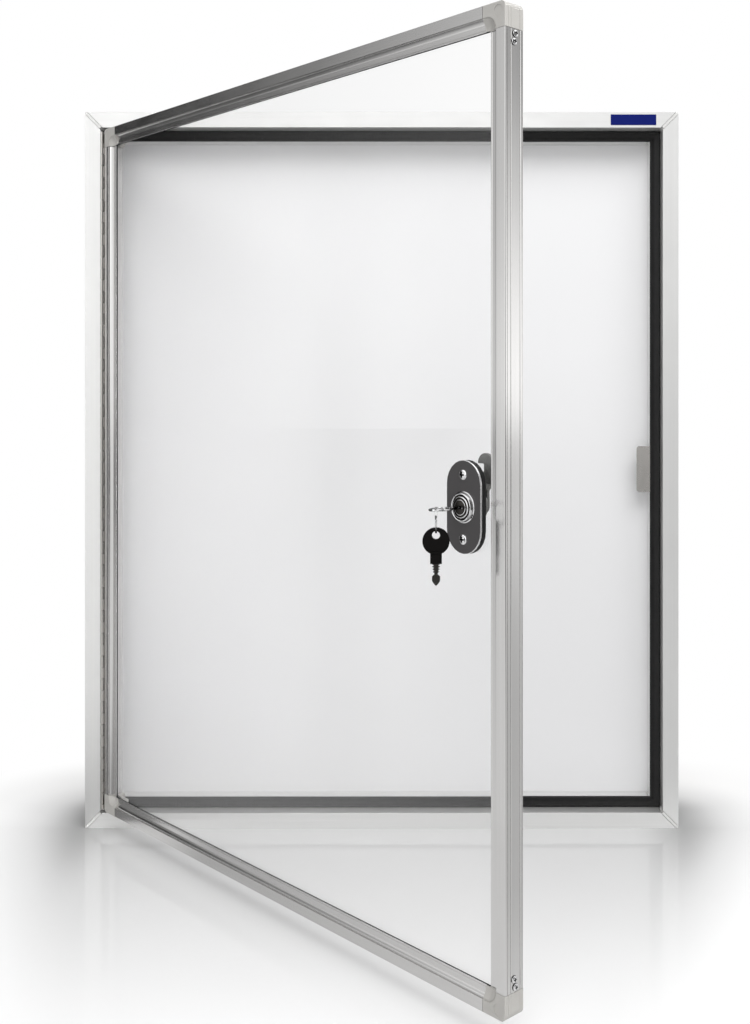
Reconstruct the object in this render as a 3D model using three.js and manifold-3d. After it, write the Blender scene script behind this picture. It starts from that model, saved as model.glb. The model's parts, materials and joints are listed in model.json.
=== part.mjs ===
// Lockable notice board: a wall case of mitred aluminium profiles with a glazed door on a piano
// hinge, shown half open, with a cam lock, its key and a spare key on a ring.
// Millimetres. +X to the right, +Y into the wall, +Z up. The origin is on the wall face of the
// top profile, at mid-width.

import * as THREE from "three";
import { mergeVertices } from "three/addons/utils/BufferGeometryUtils.js";
import Module from "manifold-3d";

const wasm = await Module();
wasm.setup();

// Fits shared by all pieces
const FIT = 0.3; // running clearance, and the line between pieces that are held together
const GLUE = 0.06; // thickness of a glue line
const OVERRUN = 1; // how far a cut runs past the faces it opens
const MITRE_LAP = 0.05; // lap of two moulded halves that are fused on their mitre
const MERGE_DISTANCE = 0.0001; // below which two corners of a mesh are one

// Case: outer size and the profile of its four sides
const CASE_WIDTH = 580;
const CASE_HEIGHT = 700;
const CASE_DEPTH = 45;
const PROFILE_WALL = 1.6;
const FACE_WIDTH = 15.2; // front face of the profile
const LEDGE_DEPTH = 17.9; // from the front face to the ledge that carries the gasket
const LEDGE_WIDTH = 10.6;
const GROOVE_FLOOR = 20; // from the outer side to the floor of the panel groove
const GROOVE_WIDTH = 11.4; // of the panel groove
const GROOVE_LIP = 2.4; // behind the panel groove
const WEB_THICKNESS = 2.5; // mitre web of a corner connector
const WEB_PROUD = 0.25; // how far the web stands over the front face
const WEB_TIP_RADIUS = 2.2;
const CASE_LEG_REACH = 30; // leg of a corner connector past the web

// Panel and board behind the notices
const PANEL_THICKNESS = 1.5;
const BOARD_THICKNESS = 9;

// Gasket strip on the ledge
const GASKET_THICKNESS = 2.5;

// Keyhole slots in the wall face of the top profile
const KEYHOLE_SPACING = 400;
const KEYHOLE_DROP = 15; // from the top edge to the round hole
const KEYHOLE_RADIUS = 4.5;
const KEYHOLE_SLOT_RADIUS = 2.5;
const KEYHOLE_SLOT_RISE = 7;

// Plain label plate on the front face of the top profile
const LABEL_WIDTH = 44.5;
const LABEL_HEIGHT = 10.4;
const LABEL_THICKNESS = 0.4;
const LABEL_FROM_RIGHT = 44; // from the right side of the case to the label's middle

// Door: gaps around it, thickness and the profile of its four sides
const DOOR_GAP = 2.8; // above and below
const DOOR_FREE_GAP = 3.4; // beside the free edge
const DOOR_THICKNESS = 17;
const DOOR_PROUD = 2.2; // how far the closed door stands in front of the case
const DOOR_OPEN_DEG = 45.07;
const DOOR_WALL = 1.5;
const DOOR_FLAT = 8.5; // flat part of the front of the profile
const DOOR_CHAMBER = 8.2;
const SHADOW_GROOVE_WIDTH = 0.9;
const SHADOW_GROOVE_DEPTH = 0.6;
const DOOR_SIGHT = 16.8; // from the outer edge to the lip at the glass
const COVE_START_DEPTH = 0.3;
const COVE_DEPTH = 3.3;
const COVE_STEPS = 5;
const LIP_THICKNESS = 0.6;
const BEAD_THICKNESS = 1.1;
const DOOR_BACK_WIDTH = 13.5;
const SIDE_GROOVE = 0.35; // size of the fine grooves along the edge of the door
const SIDE_GROOVE_SHARES = [0.17, 0.32, 0.81]; // of the door's thickness
const EDGE_CHAMFER = 0.5;

// Glass and its rubber channel
const GLASS_THICKNESS = 4;
const SEAL_THICKNESS = 0.5;
const SEAL_SHOW = 0.7; // how far the rubber shows past the lip
const SEAL_SLACK = 0.25; // clearance each side of the rubber and the glass

// Moulded corners of the door
const CORNER_RAIL_REACH = 20.6;
const CORNER_STILE_REACH = 17.5;
const CORNER_RADIUS = 4.8;
const CORNER_LEG_REACH = 28;
const CORNER_MARK_RADIUS = 4.2;
const CORNER_MARK_INSET = 6.4;
const CORNER_MARK_DEPTH = 0.4;

// Screws in the edge of the free stile
const SCREW_HEAD_RADIUS = 2.5;
const SCREW_HEAD_HEIGHT = 1.3;
const SCREW_SHANK_RADIUS = 1.2;
const SCREW_LENGTH = 6;
const SCREW_RECESS_RADIUS = 0.9;
const SCREW_RECESS_DEPTH = 0.7;
const SCREW_FROM_END = 20.8; // from the door's end to the first screw
const SCREW_PITCH = 5.4;
const SCREW_DEPTH = 9.4; // from the door's front face
const SCREW_STAGGER = 1.2;
const DOME_SHARES = [0.35, 0.75, 0.85]; // rim height, shoulder radius and shoulder height of a head

// Piano hinge
const HINGE_END_GAP = 20; // from the case's ends to the hinge's ends
const KNUCKLE_PITCH = 11.1;
const KNUCKLE_RADIUS = 2.2;
const PIN_RADIUS = 1.05;
const LEAF_THICKNESS = 1;
const LEAF_WIDTH = 12.5; // from the pin to the back edge of a leaf
const PIN_PROUD = 3.2; // how far the pin's axis stands in front of the case
const RIVET_HEAD_RADIUS = 2.4;
const RIVET_HEAD_HEIGHT = 0.7;
const RIVET_RADIUS = 1.3;
const RIVET_LENGTH = 3.6;
const RIVET_DEPTH = 8; // from the pin to the row of rivets
const RIVET_FROM_END = 66; // from the hinge's ends to the outer rivets
const RIVET_ROW_SHARES = [0, 0.3375, 0.6625, 1]; // of the distance between the outer rivets

// Lock plate on the glass, its pad and its back plate
const LOCK_FROM_EDGE = 38.3;
const PLATE_WIDTH = 32.6;
const PLATE_HEIGHT = 63;
const PLATE_THICKNESS = 1.4;
const PAD_THICKNESS = 3.5;
const BACK_PLATE_WIDTH = 28;
const BACK_PLATE_HEIGHT = 54;
const BACK_PLATE_THICKNESS = 2;
const PLATE_SCREW_SPACING = 43.4;
const PLATE_SCREW_HEAD_RADIUS = 3.6;
const PLATE_SCREW_HEAD_HEIGHT = 1.8;
const PLATE_SCREW_RADIUS = 2;

// Cam lock
const BARREL_RADIUS = 9.3;
const RIM_RADIUS = 10.8;
const RIM_HEIGHT = 2.9;
const BARREL_LENGTH = 16.2; // behind the front of the plate
const NUT_ACROSS_FLATS = 24;
const NUT_THICKNESS = 3.4;
const PLUG_RADIUS = 7.35;
const PLUG_PROUD = 3.5; // in front of the plate
const TENON_SIDE = 7;
const KEYWAY_DEPTH = 19;
const CAM_SCREW_HEAD_RADIUS = 4.7;
const CAM_SCREW_HEAD_HEIGHT = 2.4;
const CAM_SCREW_RADIUS = 1.4;
const CAM_SCREW_LENGTH = 2.6; // of the shank in the tenon

// Cam: a cranked hook, upright when unlocked
const CAM_THICKNESS = 2.5;
const CAM_HUB_RADIUS = 6.5;
const CAM_REACH = 35.4; // from the pivot to the tip
const CAM_CRANK = 4.4; // how far the head is set back
const CAM_CRANK_START = 10.9; // from the pivot
const CAM_CRANK_END = 14.7;
const CAM_CORNER_RADIUS = 1.6;
const CAM_HEAD_LEFT = 7.4;
const CAM_HEAD_RIGHT = 5.8;
const CAM_NOTCH_LOW = 22.6;
const CAM_NOTCH_HIGH = 28.2;
const CAM_NOTCH_FLOOR = 1.6; // left of the pivot line

// Keeper on the ledge of the right profile
const KEEPER_HEIGHT = 45.5;
const KEEPER_REACH = 13; // inward past the ledge
const KEEPER_THICKNESS = 1.5;
const KEEPER_RADIUS = 2.6;
const KEEPER_SCREW_SPACING = 34;
const KEEPER_SCREW_INSET = 2.5; // from the ledge's outer wall
const KEEPER_SCREW_HEAD_RADIUS = 2.1;
const KEEPER_SCREW_HEAD_HEIGHT = 0.7;
const KEEPER_SCREW_RADIUS = 1.2;
const KEEPER_SCREW_LENGTH = 4.5;
const CAM_SLOT_DOWN = 8.3; // of the cam's slot below the lock's height
const CAM_SLOT_UP = 19;

// Key in the lock, with an oval wire bow that lies flat
const KEY_WIDTH = 7.4;
const KEY_THICKNESS = 2;
const KEY_BLADE_LENGTH = 18.5;
const KEY_NECK_WIDTH = 4.6;
const KEY_NECK_LENGTH = 7.6; // from the plug to the bow
const KEY_CUT_DEPTH = 1.4;
const BOW_LENGTH = 19;
const BOW_WIDTH = 13;
const BOW_WIRE_RADIUS = 0.8;
const HANG_DEG = 33.3; // where the ring hangs on the bow, from its far end

// Ring on the bow, and the spare key on the ring
const RING_RADIUS = 8; // to the middle of the wire
const RING_WIRE_RADIUS = 0.65;
const SPARE_BOW_RADIUS = 8.9;
const SPARE_BOW_THICKNESS = 2.8;
const SPARE_HOLE_RADIUS = 2.65;
const SPARE_HOLE_RISE = 3.9; // above the middle of the bow
const SPARE_NECK_WIDTH = 7.6;
const SPARE_NECK_DROP = 14.8; // from the middle of the bow
const SPARE_BLADE_WIDTH = 5.4;
const SPARE_TIP_DROP = 29.1;
const SPARE_BLADE_THICKNESS = 2;
const SPARE_TANG_WIDTH = 5;
const SPARE_TANG_LENGTH = 6;
const SPARE_TANG_THICKNESS = 1.2;
const SPARE_CUT_DEPTH = 1; // of the deepest cut in the blade

// Outline of a key's blade, shared by both keys
const CUT_SHARES = [0, 0.5, 0.15, 0.9, 0.3, 0.7, 0.1, 0.6, 0]; // of the cut depth, along the blade
const POINT_WIDTH_SHARE = 0.2; // width of the tip, of the blade's width
const POINT_LENGTH_SHARE = 0.22; // of the blade's length

// Places worked out from the sizes above
const CASE_HALF_WIDTH = CASE_WIDTH / 2;
const FRONT_Y = -CASE_DEPTH;
const INNER_EDGE = FACE_WIDTH + LEDGE_WIDTH;
const ORIGIN_DROP = INNER_EDGE / 2;
const GROOVE_BACK = CASE_DEPTH - GROOVE_LIP;
const GROOVE_FRONT = GROOVE_BACK - GROOVE_WIDTH;
const HINGE_LENGTH = CASE_HEIGHT - 2 * HINGE_END_GAP;
const PANEL_FRONT = GROOVE_FRONT + FIT;
const BOARD_FRONT = PANEL_FRONT + PANEL_THICKNESS + FIT;
const GASKET_FRONT = LEDGE_DEPTH - FIT - GASKET_THICKNESS;
const PIN_X = -CASE_HALF_WIDTH + FACE_WIDTH + FIT + KNUCKLE_RADIUS;
const PIN_Y = FRONT_Y - PIN_PROUD;
const DOOR_START = KNUCKLE_RADIUS + FIT; // from the pin to the door's hinge edge
const DOOR_WIDTH = CASE_HALF_WIDTH - FACE_WIDTH - DOOR_FREE_GAP - PIN_X - DOOR_START;
const DOOR_HEIGHT = CASE_HEIGHT - 2 * (FACE_WIDTH + DOOR_GAP);
const DOOR_FACE = PIN_PROUD - DOOR_PROUD; // from the pin back to the door's front face
const DOOR_BOTTOM = FACE_WIDTH + DOOR_GAP;
const MID_HEIGHT = CASE_HEIGHT / 2;
const LIP_BACK = COVE_DEPTH + LIP_THICKNESS;
const SEAL_FRONT = LIP_BACK + SEAL_SLACK;
const GLASS_FRONT = SEAL_FRONT + SEAL_THICKNESS + SEAL_SLACK;
const GLASS_BACK = GLASS_FRONT + GLASS_THICKNESS;
const SEAL_BACK = GLASS_BACK + SEAL_SLACK + SEAL_THICKNESS;
const POCKET_BACK = SEAL_BACK + SEAL_SLACK;
const POCKET_FLOOR = DOOR_CHAMBER + DOOR_WALL;
const SEAL_EDGE = POCKET_FLOOR + SEAL_SLACK;
const GLASS_EDGE = SEAL_EDGE + SEAL_THICKNESS + SEAL_SLACK;
const LOCK_X = DOOR_START + DOOR_WIDTH - LOCK_FROM_EDGE;

// Along the lock's axis, outward from the front face of the door
const PAD_BACK = -GLASS_FRONT + FIT;
const PLATE_BACK = PAD_BACK + PAD_THICKNESS + FIT;
const PLATE_FRONT = PLATE_BACK + PLATE_THICKNESS;
const BACK_PLATE_FRONT = -GLASS_BACK - FIT;
const BACK_PLATE_BACK = BACK_PLATE_FRONT - BACK_PLATE_THICKNESS;
const CAM_HEAD_DEPTH = LEDGE_DEPTH + PROFILE_WALL + FIT; // its head, behind the case's front when closed
const CAM_FRONT = CAM_CRANK - DOOR_PROUD - CAM_HEAD_DEPTH;
const PLUG_SHOULDER = CAM_FRONT + FIT;
const CAM_BACK = CAM_FRONT - CAM_THICKNESS;
const PLUG_FRONT = PLATE_FRONT + PLUG_PROUD;
const BOW_CENTRE = PLUG_FRONT + KEY_NECK_LENGTH + BOW_LENGTH / 2;

const materials = {
  frame: { color: 0xe2e2df, roughness: 0.45, metalness: 0.1 },
  web: { color: 0xd6d6d2, roughness: 0.5, metalness: 0 },
  panel: { color: 0xe8e8ea, roughness: 0.35, metalness: 0 },
  board: { color: 0xa08a6a, roughness: 0.9, metalness: 0 },
  gasket: { color: 0x1c1c1c, roughness: 0.95, metalness: 0 },
  anodised: { color: 0xb9b9b9, roughness: 0.35, metalness: 0.9 },
  corner: { color: 0xb6b3ae, roughness: 0.55, metalness: 0 },
  glass: { color: 0xe6eeec, roughness: 0.05, metalness: 0 },
  rubber: { color: 0x222222, roughness: 0.85, metalness: 0 },
  steel: { color: 0x9a9a98, roughness: 0.4, metalness: 1 },
  chrome: { color: 0xd8d8d8, roughness: 0.12, metalness: 1 },
  zinc: { color: 0x8a8a88, roughness: 0.5, metalness: 0.9 },
  black: { color: 0x2a2828, roughness: 0.5, metalness: 0.3 },
  plastic: { color: 0x151515, roughness: 0.45, metalness: 0 },
  label: { color: 0x24307a, roughness: 0.4, metalness: 0 },
};

function addMesh(group, name, geometry, finish) {
  const mesh = new THREE.Mesh(geometry, new THREE.MeshStandardMaterial(materials[finish]));
  mesh.name = name;
  group.add(mesh);
  return mesh;
}

// One vertex for each corner, and no triangle without an area
function mergedMesh(geometry) {
  const bare = new THREE.BufferGeometry();
  bare.setAttribute("position", geometry.attributes.position.clone());
  bare.setIndex(geometry.index ? geometry.index.clone() : null);
  const merged = mergeVertices(bare, MERGE_DISTANCE);
  const kept = [];
  for (let i = 0; i < merged.index.count; i += 3) {
    const [a, b, c] = [merged.index.getX(i), merged.index.getX(i + 1), merged.index.getX(i + 2)];
    if (a !== b && b !== c && c !== a) {
      kept.push(a, b, c);
    }
  }
  merged.setIndex(kept);
  return merged;
}

// Solids from closed meshes, and back
function solidOf(geometry) {
  const merged = mergedMesh(geometry);
  return new wasm.Manifold(new wasm.Mesh({
    numProp: 3,
    vertProperties: new Float32Array(merged.attributes.position.array),
    triVerts: new Uint32Array(merged.index.array),
  }));
}

function geometryOf(solid) {
  const mesh = solid.getMesh();
  const geometry = new THREE.BufferGeometry();
  geometry.setAttribute("position", new THREE.BufferAttribute(new Float32Array(mesh.vertProperties), 3));
  geometry.setIndex(new THREE.BufferAttribute(new Uint32Array(mesh.triVerts), 1));
  return geometry;
}

function cut(geometry, tools) {
  return geometryOf(tools.reduce((solid, tool) => solid.subtract(solidOf(tool)), solidOf(geometry)));
}

function join(geometries) {
  return geometryOf(wasm.Manifold.union(geometries.map(solidOf)));
}

function common(first, second) {
  return geometryOf(solidOf(first).intersect(solidOf(second)));
}

// A box between two corners
function boxBetween(low, high) {
  const size = high.map((value, i) => value - low[i]);
  const box = new THREE.BoxGeometry(...size);
  return box.translate(...low.map((value, i) => value + size[i] / 2));
}

// A shape from its outline, with closed outlines as holes
function shapeOf(points, holes = []) {
  const shape = new THREE.Shape(points.map(([x, y]) => new THREE.Vector2(x, y)));
  for (const hole of holes) {
    shape.holes.push(new THREE.Path(hole.map(([x, y]) => new THREE.Vector2(x, y))));
  }
  return shape;
}

function extrude(shape, low, high) {
  return new THREE.ExtrudeGeometry(shape, {
    depth: high - low,
    bevelEnabled: false,
    curveSegments: 12,
  }).translate(0, 0, low);
}

// A ring of points on an arc, from one angle to another
function arcPoints(x, y, radius, startDeg, endDeg, steps) {
  const points = [];
  for (let i = 0; i <= steps; i++) {
    const angle = THREE.MathUtils.degToRad(startDeg + ((endDeg - startDeg) * i) / steps);
    points.push([x + radius * Math.cos(angle), y + radius * Math.sin(angle)]);
  }
  return points;
}

function circlePoints(x, y, radius, sides) {
  return arcPoints(x, y, radius, 0, 360 - 360 / sides, sides - 1);
}

// An upright stadium
function stadiumPoints(width, height, steps) {
  const radius = width / 2;
  const rise = height / 2 - radius;
  return [
    ...arcPoints(0, rise, radius, 0, 180, steps),
    ...arcPoints(0, -rise, radius, 180, 360, steps),
  ];
}

// A round bar along Z
function bar(radius, low, high, sides = 16) {
  return extrude(shapeOf(circlePoints(0, 0, radius, sides)), low, high);
}

// A turned piece along Z, from a closed profile of [radius, height]
function turned(profile, sides) {
  const points = [...profile, profile[0]].map(([r, h]) => new THREE.Vector2(r, h));
  const geometry = new THREE.LatheGeometry(points, sides).rotateX(Math.PI / 2);
  return outward(mergedMesh(geometry));
}

// Turns a closed mesh's faces outward if they point inward
function outward(geometry) {
  const position = geometry.attributes.position;
  const index = geometry.index;
  const corners = [new THREE.Vector3(), new THREE.Vector3(), new THREE.Vector3()];
  let volume = 0;
  for (let i = 0; i < index.count; i += 3) {
    corners.forEach((corner, k) => corner.fromBufferAttribute(position, index.getX(i + k)));
    volume += corners[0].dot(corners[1].cross(corners[2]));
  }
  return volume < 0 ? flipped(geometry) : geometry;
}

function flipped(geometry) {
  const index = geometry.index.clone();
  for (let i = 0; i < index.count; i += 3) {
    const first = index.getX(i);
    index.setX(i, index.getX(i + 1));
    index.setX(i + 1, first);
  }
  const turnedOver = geometry.clone();
  turnedOver.setIndex(index);
  return turnedOver;
}

// Places a mesh so that its X, Y and Z axes point along the given directions
function placed(geometry, xAxis, yAxis, zAxis, origin) {
  const matrix = new THREE.Matrix4().makeBasis(xAxis, yAxis, zAxis).setPosition(origin);
  const indexed = mergedMesh(geometry).applyMatrix4(matrix);
  return matrix.determinant() < 0 ? flipped(indexed) : indexed;
}

// Ends of a length of profile: how far they are cut back, and their share of a mitre
const square = (gap) => ({ gap, share: 0 });
const mitred = (gap) => ({ gap, share: 1 });

// A length of profile along Z, its section given as [inward, back]
function profileLength(section, holes, length, start, end) {
  const geometry = mergedMesh(extrude(shapeOf(section, holes), 0, length));
  const position = geometry.attributes.position;
  for (let i = 0; i < position.count; i++) {
    const atStart = position.getZ(i) < length / 2;
    const cutOff = atStart ? start : end;
    const inset = cutOff.gap + cutOff.share * position.getX(i);
    position.setZ(i, atStart ? inset : length - inset);
  }
  return geometry;
}

// An oval or round ring of wire in the XY plane
function wireRing(halfLength, halfWidth, wireRadius, steps, sides) {
  const positions = [];
  const indices = [];
  for (let i = 0; i < steps; i++) {
    const angle = (2 * Math.PI * i) / steps;
    const centre = new THREE.Vector3(halfLength * Math.cos(angle), halfWidth * Math.sin(angle), 0);
    const normal = new THREE.Vector3(halfWidth * Math.cos(angle), halfLength * Math.sin(angle), 0).normalize();
    for (let k = 0; k < sides; k++) {
      const turn = (2 * Math.PI * k) / sides;
      const point = centre.clone().addScaledVector(normal, wireRadius * Math.cos(turn));
      positions.push(point.x, point.y, wireRadius * Math.sin(turn));
      const next = (i + 1) % steps;
      const beside = (k + 1) % sides;
      indices.push(i * sides + k, next * sides + k, next * sides + beside);
      indices.push(i * sides + k, next * sides + beside, i * sides + beside);
    }
  }
  const geometry = new THREE.BufferGeometry();
  geometry.setAttribute("position", new THREE.Float32BufferAttribute(positions, 3));
  geometry.setIndex(indices);
  return outward(geometry);
}

// A raised round screw head with a shank behind it, along Z, the face of its seat at zero
function screw(headRadius, headHeight, shankRadius, shankLength, recessRadius, recessDepth, sides = 16) {
  const profile = [
    [0, -shankLength],
    [shankRadius, -shankLength],
    [shankRadius, 0],
    [headRadius, 0],
    [headRadius, headHeight * DOME_SHARES[0]],
    [headRadius * DOME_SHARES[1], headHeight * DOME_SHARES[2]],
    [recessRadius, headHeight],
    [recessRadius, headHeight - recessDepth],
    [0, headHeight - recessDepth],
  ];
  return turned(profile, sides);
}

const axisX = new THREE.Vector3(1, 0, 0);
const axisY = new THREE.Vector3(0, 1, 0);
const axisZ = new THREE.Vector3(0, 0, 1);
const backward = (axis) => axis.clone().negate();

// Case profiles

// The section of a case profile as [inward from the outer side, back from the front face]
function caseSection() {
  return [
    [0, 0],
    [FACE_WIDTH, 0],
    [FACE_WIDTH, LEDGE_DEPTH],
    [INNER_EDGE, LEDGE_DEPTH],
    [INNER_EDGE, GROOVE_FRONT],
    [GROOVE_FLOOR, GROOVE_FRONT],
    [GROOVE_FLOOR, GROOVE_BACK],
    [INNER_EDGE, GROOVE_BACK],
    [INNER_EDGE, CASE_DEPTH],
    [0, CASE_DEPTH],
  ];
}

function caseChamber() {
  const wall = PROFILE_WALL;
  return [
    [wall, wall],
    [FACE_WIDTH - wall, wall],
    [FACE_WIDTH - wall, LEDGE_DEPTH + wall],
    [INNER_EDGE - wall, LEDGE_DEPTH + wall],
    [INNER_EDGE - wall, GROOVE_FRONT - wall],
    [GROOVE_FLOOR - wall, GROOVE_FRONT - wall],
    [GROOVE_FLOOR - wall, CASE_DEPTH - wall],
    [wall, CASE_DEPTH - wall],
  ];
}

// The four sides of an upright rectangle: inward direction, start corner and length
function rectSides(lowX, highX, lowZ, highZ) {
  const width = highX - lowX;
  const height = highZ - lowZ;
  return {
    top: { inward: backward(axisZ), x: lowX, z: highZ, length: width },
    right: { inward: backward(axisX), x: highX, z: highZ, length: height },
    bottom: { inward: axisZ, x: highX, z: lowZ, length: width },
    left: { inward: axisX, x: lowX, z: lowZ, length: height },
  };
}

function onSide(geometry, side, y) {
  const along = side.inward.clone().cross(axisY);
  return placed(geometry, side.inward, axisY, along, new THREE.Vector3(side.x, y, side.z));
}

const caseSides = rectSides(-CASE_HALF_WIDTH, CASE_HALF_WIDTH, 0, CASE_HEIGHT);

function caseProfile(side) {
  const endCut = mitred((WEB_THICKNESS / 2 + FIT) * Math.SQRT2);
  const length = profileLength(caseSection(), [caseChamber()], side.length, endCut, endCut);
  return onSide(length, side, FRONT_Y);
}

// The four corners: directions along the horizontal and the vertical profile, away from the corner
function rectCorners(lowX, highX, lowZ, highZ) {
  return {
    top_left: { across: axisX, down: backward(axisZ), x: lowX, z: highZ },
    top_right: { across: backward(axisX), down: backward(axisZ), x: highX, z: highZ },
    bottom_left: { across: axisX, down: axisZ, x: lowX, z: lowZ },
    bottom_right: { across: backward(axisX), down: axisZ, x: highX, z: lowZ },
  };
}

// A corner connector: a web that shows in the mitre, and two legs in the profiles' chambers
function caseConnector(corner) {
  const outline = caseSection().map(([inward, back]) => [inward * Math.SQRT2, back]);
  const tip = WEB_TIP_RADIUS;
  const rounded = [
    ...arcPoints(tip, tip - WEB_PROUD, tip, 180, 270, 5),
    [FACE_WIDTH * Math.SQRT2, -WEB_PROUD],
    ...outline.slice(2),
  ];
  const web = placed(
    extrude(shapeOf(rounded), -WEB_THICKNESS / 2, WEB_THICKNESS / 2),
    new THREE.Vector3(Math.SQRT1_2, 0, Math.SQRT1_2),
    axisY,
    new THREE.Vector3(-Math.SQRT1_2, 0, Math.SQRT1_2),
    new THREE.Vector3(),
  );
  const near = PROFILE_WALL + FIT;
  const far = FACE_WIDTH - PROFILE_WALL - FIT;
  const end = far + CASE_LEG_REACH;
  const legAcross = boxBetween([near, near, near], [end, CASE_DEPTH - near, far]);
  const legDown = boxBetween([near, near, near], [far, CASE_DEPTH - near, end]);
  const reach = INNER_EDGE + CASE_LEG_REACH;
  const outer = boxBetween([0, -OVERRUN, 0], [reach, CASE_DEPTH, reach]);
  const connector = join([common(web, outer), legAcross, legDown]);
  const origin = new THREE.Vector3(corner.x, FRONT_Y, corner.z);
  return placed(connector, corner.across, axisY, corner.down, origin);
}

// A keyhole slot through the wall face of the top profile
function keyhole(x) {
  const low = -CASE_DEPTH + GROOVE_BACK;
  const z = CASE_HEIGHT - KEYHOLE_DROP;
  const slot = shapeOf([
    ...arcPoints(0, KEYHOLE_SLOT_RISE, KEYHOLE_SLOT_RADIUS, 0, 180, 8),
    [-KEYHOLE_SLOT_RADIUS, 0],
    [KEYHOLE_SLOT_RADIUS, 0],
  ]);
  const hole = join([
    extrude(shapeOf(circlePoints(0, 0, KEYHOLE_RADIUS, 20)), low, OVERRUN),
    extrude(slot, low, OVERRUN),
  ]);
  return placed(hole, backward(axisX), axisZ, axisY, new THREE.Vector3(x, 0, z));
}

// The slot in the right profile that the cam's tip enters
function camSlot() {
  const front = FRONT_Y + CAM_HEAD_DEPTH - FIT;
  const back = FRONT_Y + CAM_HEAD_DEPTH + CAM_THICKNESS + FIT;
  const wallX = CASE_HALF_WIDTH - INNER_EDGE;
  const tipX = PIN_X + LOCK_X + CAM_REACH + FIT;
  return boxBetween(
    [wallX - OVERRUN, front, MID_HEIGHT - CAM_SLOT_DOWN],
    [Math.max(tipX, wallX + PROFILE_WALL) + OVERRUN, back, MID_HEIGHT + CAM_SLOT_UP],
  );
}

// A hole for a rivet through the wall beside the hinge, along X
function rivetHole(z, y, lowX, highX) {
  const hole = bar(RIVET_RADIUS + FIT, lowX, highX, 8);
  return placed(hole, axisY, axisZ, axisX, new THREE.Vector3(0, y, z));
}

function rivetHeights(shift) {
  const lowest = HINGE_END_GAP + RIVET_FROM_END + shift;
  const span = HINGE_LENGTH - 2 * RIVET_FROM_END;
  return RIVET_ROW_SHARES.map((share) => lowest + share * span);
}

function buildFrame(group) {
  const lipX = -CASE_HALF_WIDTH + FACE_WIDTH;
  const rivetHoles = rivetHeights(0).map((z) => {
    return rivetHole(z, PIN_Y + RIVET_DEPTH, lipX - PROFILE_WALL - OVERRUN, lipX + OVERRUN);
  });
  const keeperX = CASE_HALF_WIDTH - FACE_WIDTH - KEEPER_SCREW_INSET;
  const keeperHoles = keeperScrewHeights().map((z) => {
    const hole = bar(KEEPER_SCREW_RADIUS + FIT, LEDGE_DEPTH - OVERRUN, LEDGE_DEPTH + PROFILE_WALL + OVERRUN, 12);
    return placed(hole, axisZ, axisX, axisY, new THREE.Vector3(keeperX, FRONT_Y, z));
  });
  const half = KEYHOLE_SPACING / 2;
  addMesh(group, "frame_top", cut(caseProfile(caseSides.top), [keyhole(-half), keyhole(half)]), "frame");
  addMesh(group, "frame_right", cut(caseProfile(caseSides.right), [camSlot(), ...keeperHoles]), "frame");
  addMesh(group, "frame_bottom", caseProfile(caseSides.bottom), "frame");
  addMesh(group, "frame_left", cut(caseProfile(caseSides.left), rivetHoles), "frame");
  const corners = rectCorners(-CASE_HALF_WIDTH, CASE_HALF_WIDTH, 0, CASE_HEIGHT);
  for (const [place, corner] of Object.entries(corners)) {
    addMesh(group, `frame_corner_${place}`, caseConnector(corner), "web");
  }
}

// Panel, backing board and label

function buildPanel(group) {
  const edge = GROOVE_FLOOR + FIT;
  const halfWidth = CASE_HALF_WIDTH - edge;
  const panel = boxBetween(
    [-halfWidth, FRONT_Y + PANEL_FRONT, edge],
    [halfWidth, FRONT_Y + PANEL_FRONT + PANEL_THICKNESS, CASE_HEIGHT - edge],
  );
  const board = boxBetween(
    [-halfWidth, FRONT_Y + BOARD_FRONT, edge],
    [halfWidth, FRONT_Y + BOARD_FRONT + BOARD_THICKNESS, CASE_HEIGHT - edge],
  );
  addMesh(group, "back_panel", panel, "panel");
  addMesh(group, "backing_board", board, "board");
}

function buildLabel(group) {
  const x = CASE_HALF_WIDTH - LABEL_FROM_RIGHT;
  const z = CASE_HEIGHT - FACE_WIDTH / 2;
  const back = FRONT_Y - GLUE;
  const plate = boxBetween(
    [x - LABEL_WIDTH / 2, back - LABEL_THICKNESS, z - LABEL_HEIGHT / 2],
    [x + LABEL_WIDTH / 2, back, z + LABEL_HEIGHT / 2],
  );
  addMesh(group, "label_plate", plate, "label");
}

// Gasket strips on the ledge; the right one is hollowed where it lies over the keeper

function gasketStrip(side) {
  const near = FACE_WIDTH + FIT;
  const far = INNER_EDGE - FIT;
  const section = [
    [near, GASKET_FRONT],
    [far, GASKET_FRONT],
    [far, GASKET_FRONT + GASKET_THICKNESS],
    [near, GASKET_FRONT + GASKET_THICKNESS],
  ];
  const endCut = mitred(FIT / 2);
  return onSide(profileLength(section, [], side.length, endCut, endCut), side, FRONT_Y);
}

function buildGaskets(group) {
  const room = KEEPER_HEIGHT / 2 + FIT;
  const front = FRONT_Y + keeperFront() - FIT;
  const keeperRoom = boxBetween(
    [CASE_HALF_WIDTH - INNER_EDGE - OVERRUN, front, MID_HEIGHT - room],
    [CASE_HALF_WIDTH - FACE_WIDTH, FRONT_Y + LEDGE_DEPTH, MID_HEIGHT + room],
  );
  for (const [place, side] of Object.entries(caseSides)) {
    const strip = gasketStrip(side);
    addMesh(group, `gasket_${place}`, place === "right" ? cut(strip, [keeperRoom]) : strip, "gasket");
  }
}

// Keeper: a plate on the ledge, under the gasket, that the cam turns behind

function keeperFront() {
  return LEDGE_DEPTH - FIT - KEEPER_THICKNESS;
}

function keeperScrewHeights() {
  return [-1, 1].map((end) => MID_HEIGHT + (end * KEEPER_SCREW_SPACING) / 2);
}

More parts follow.
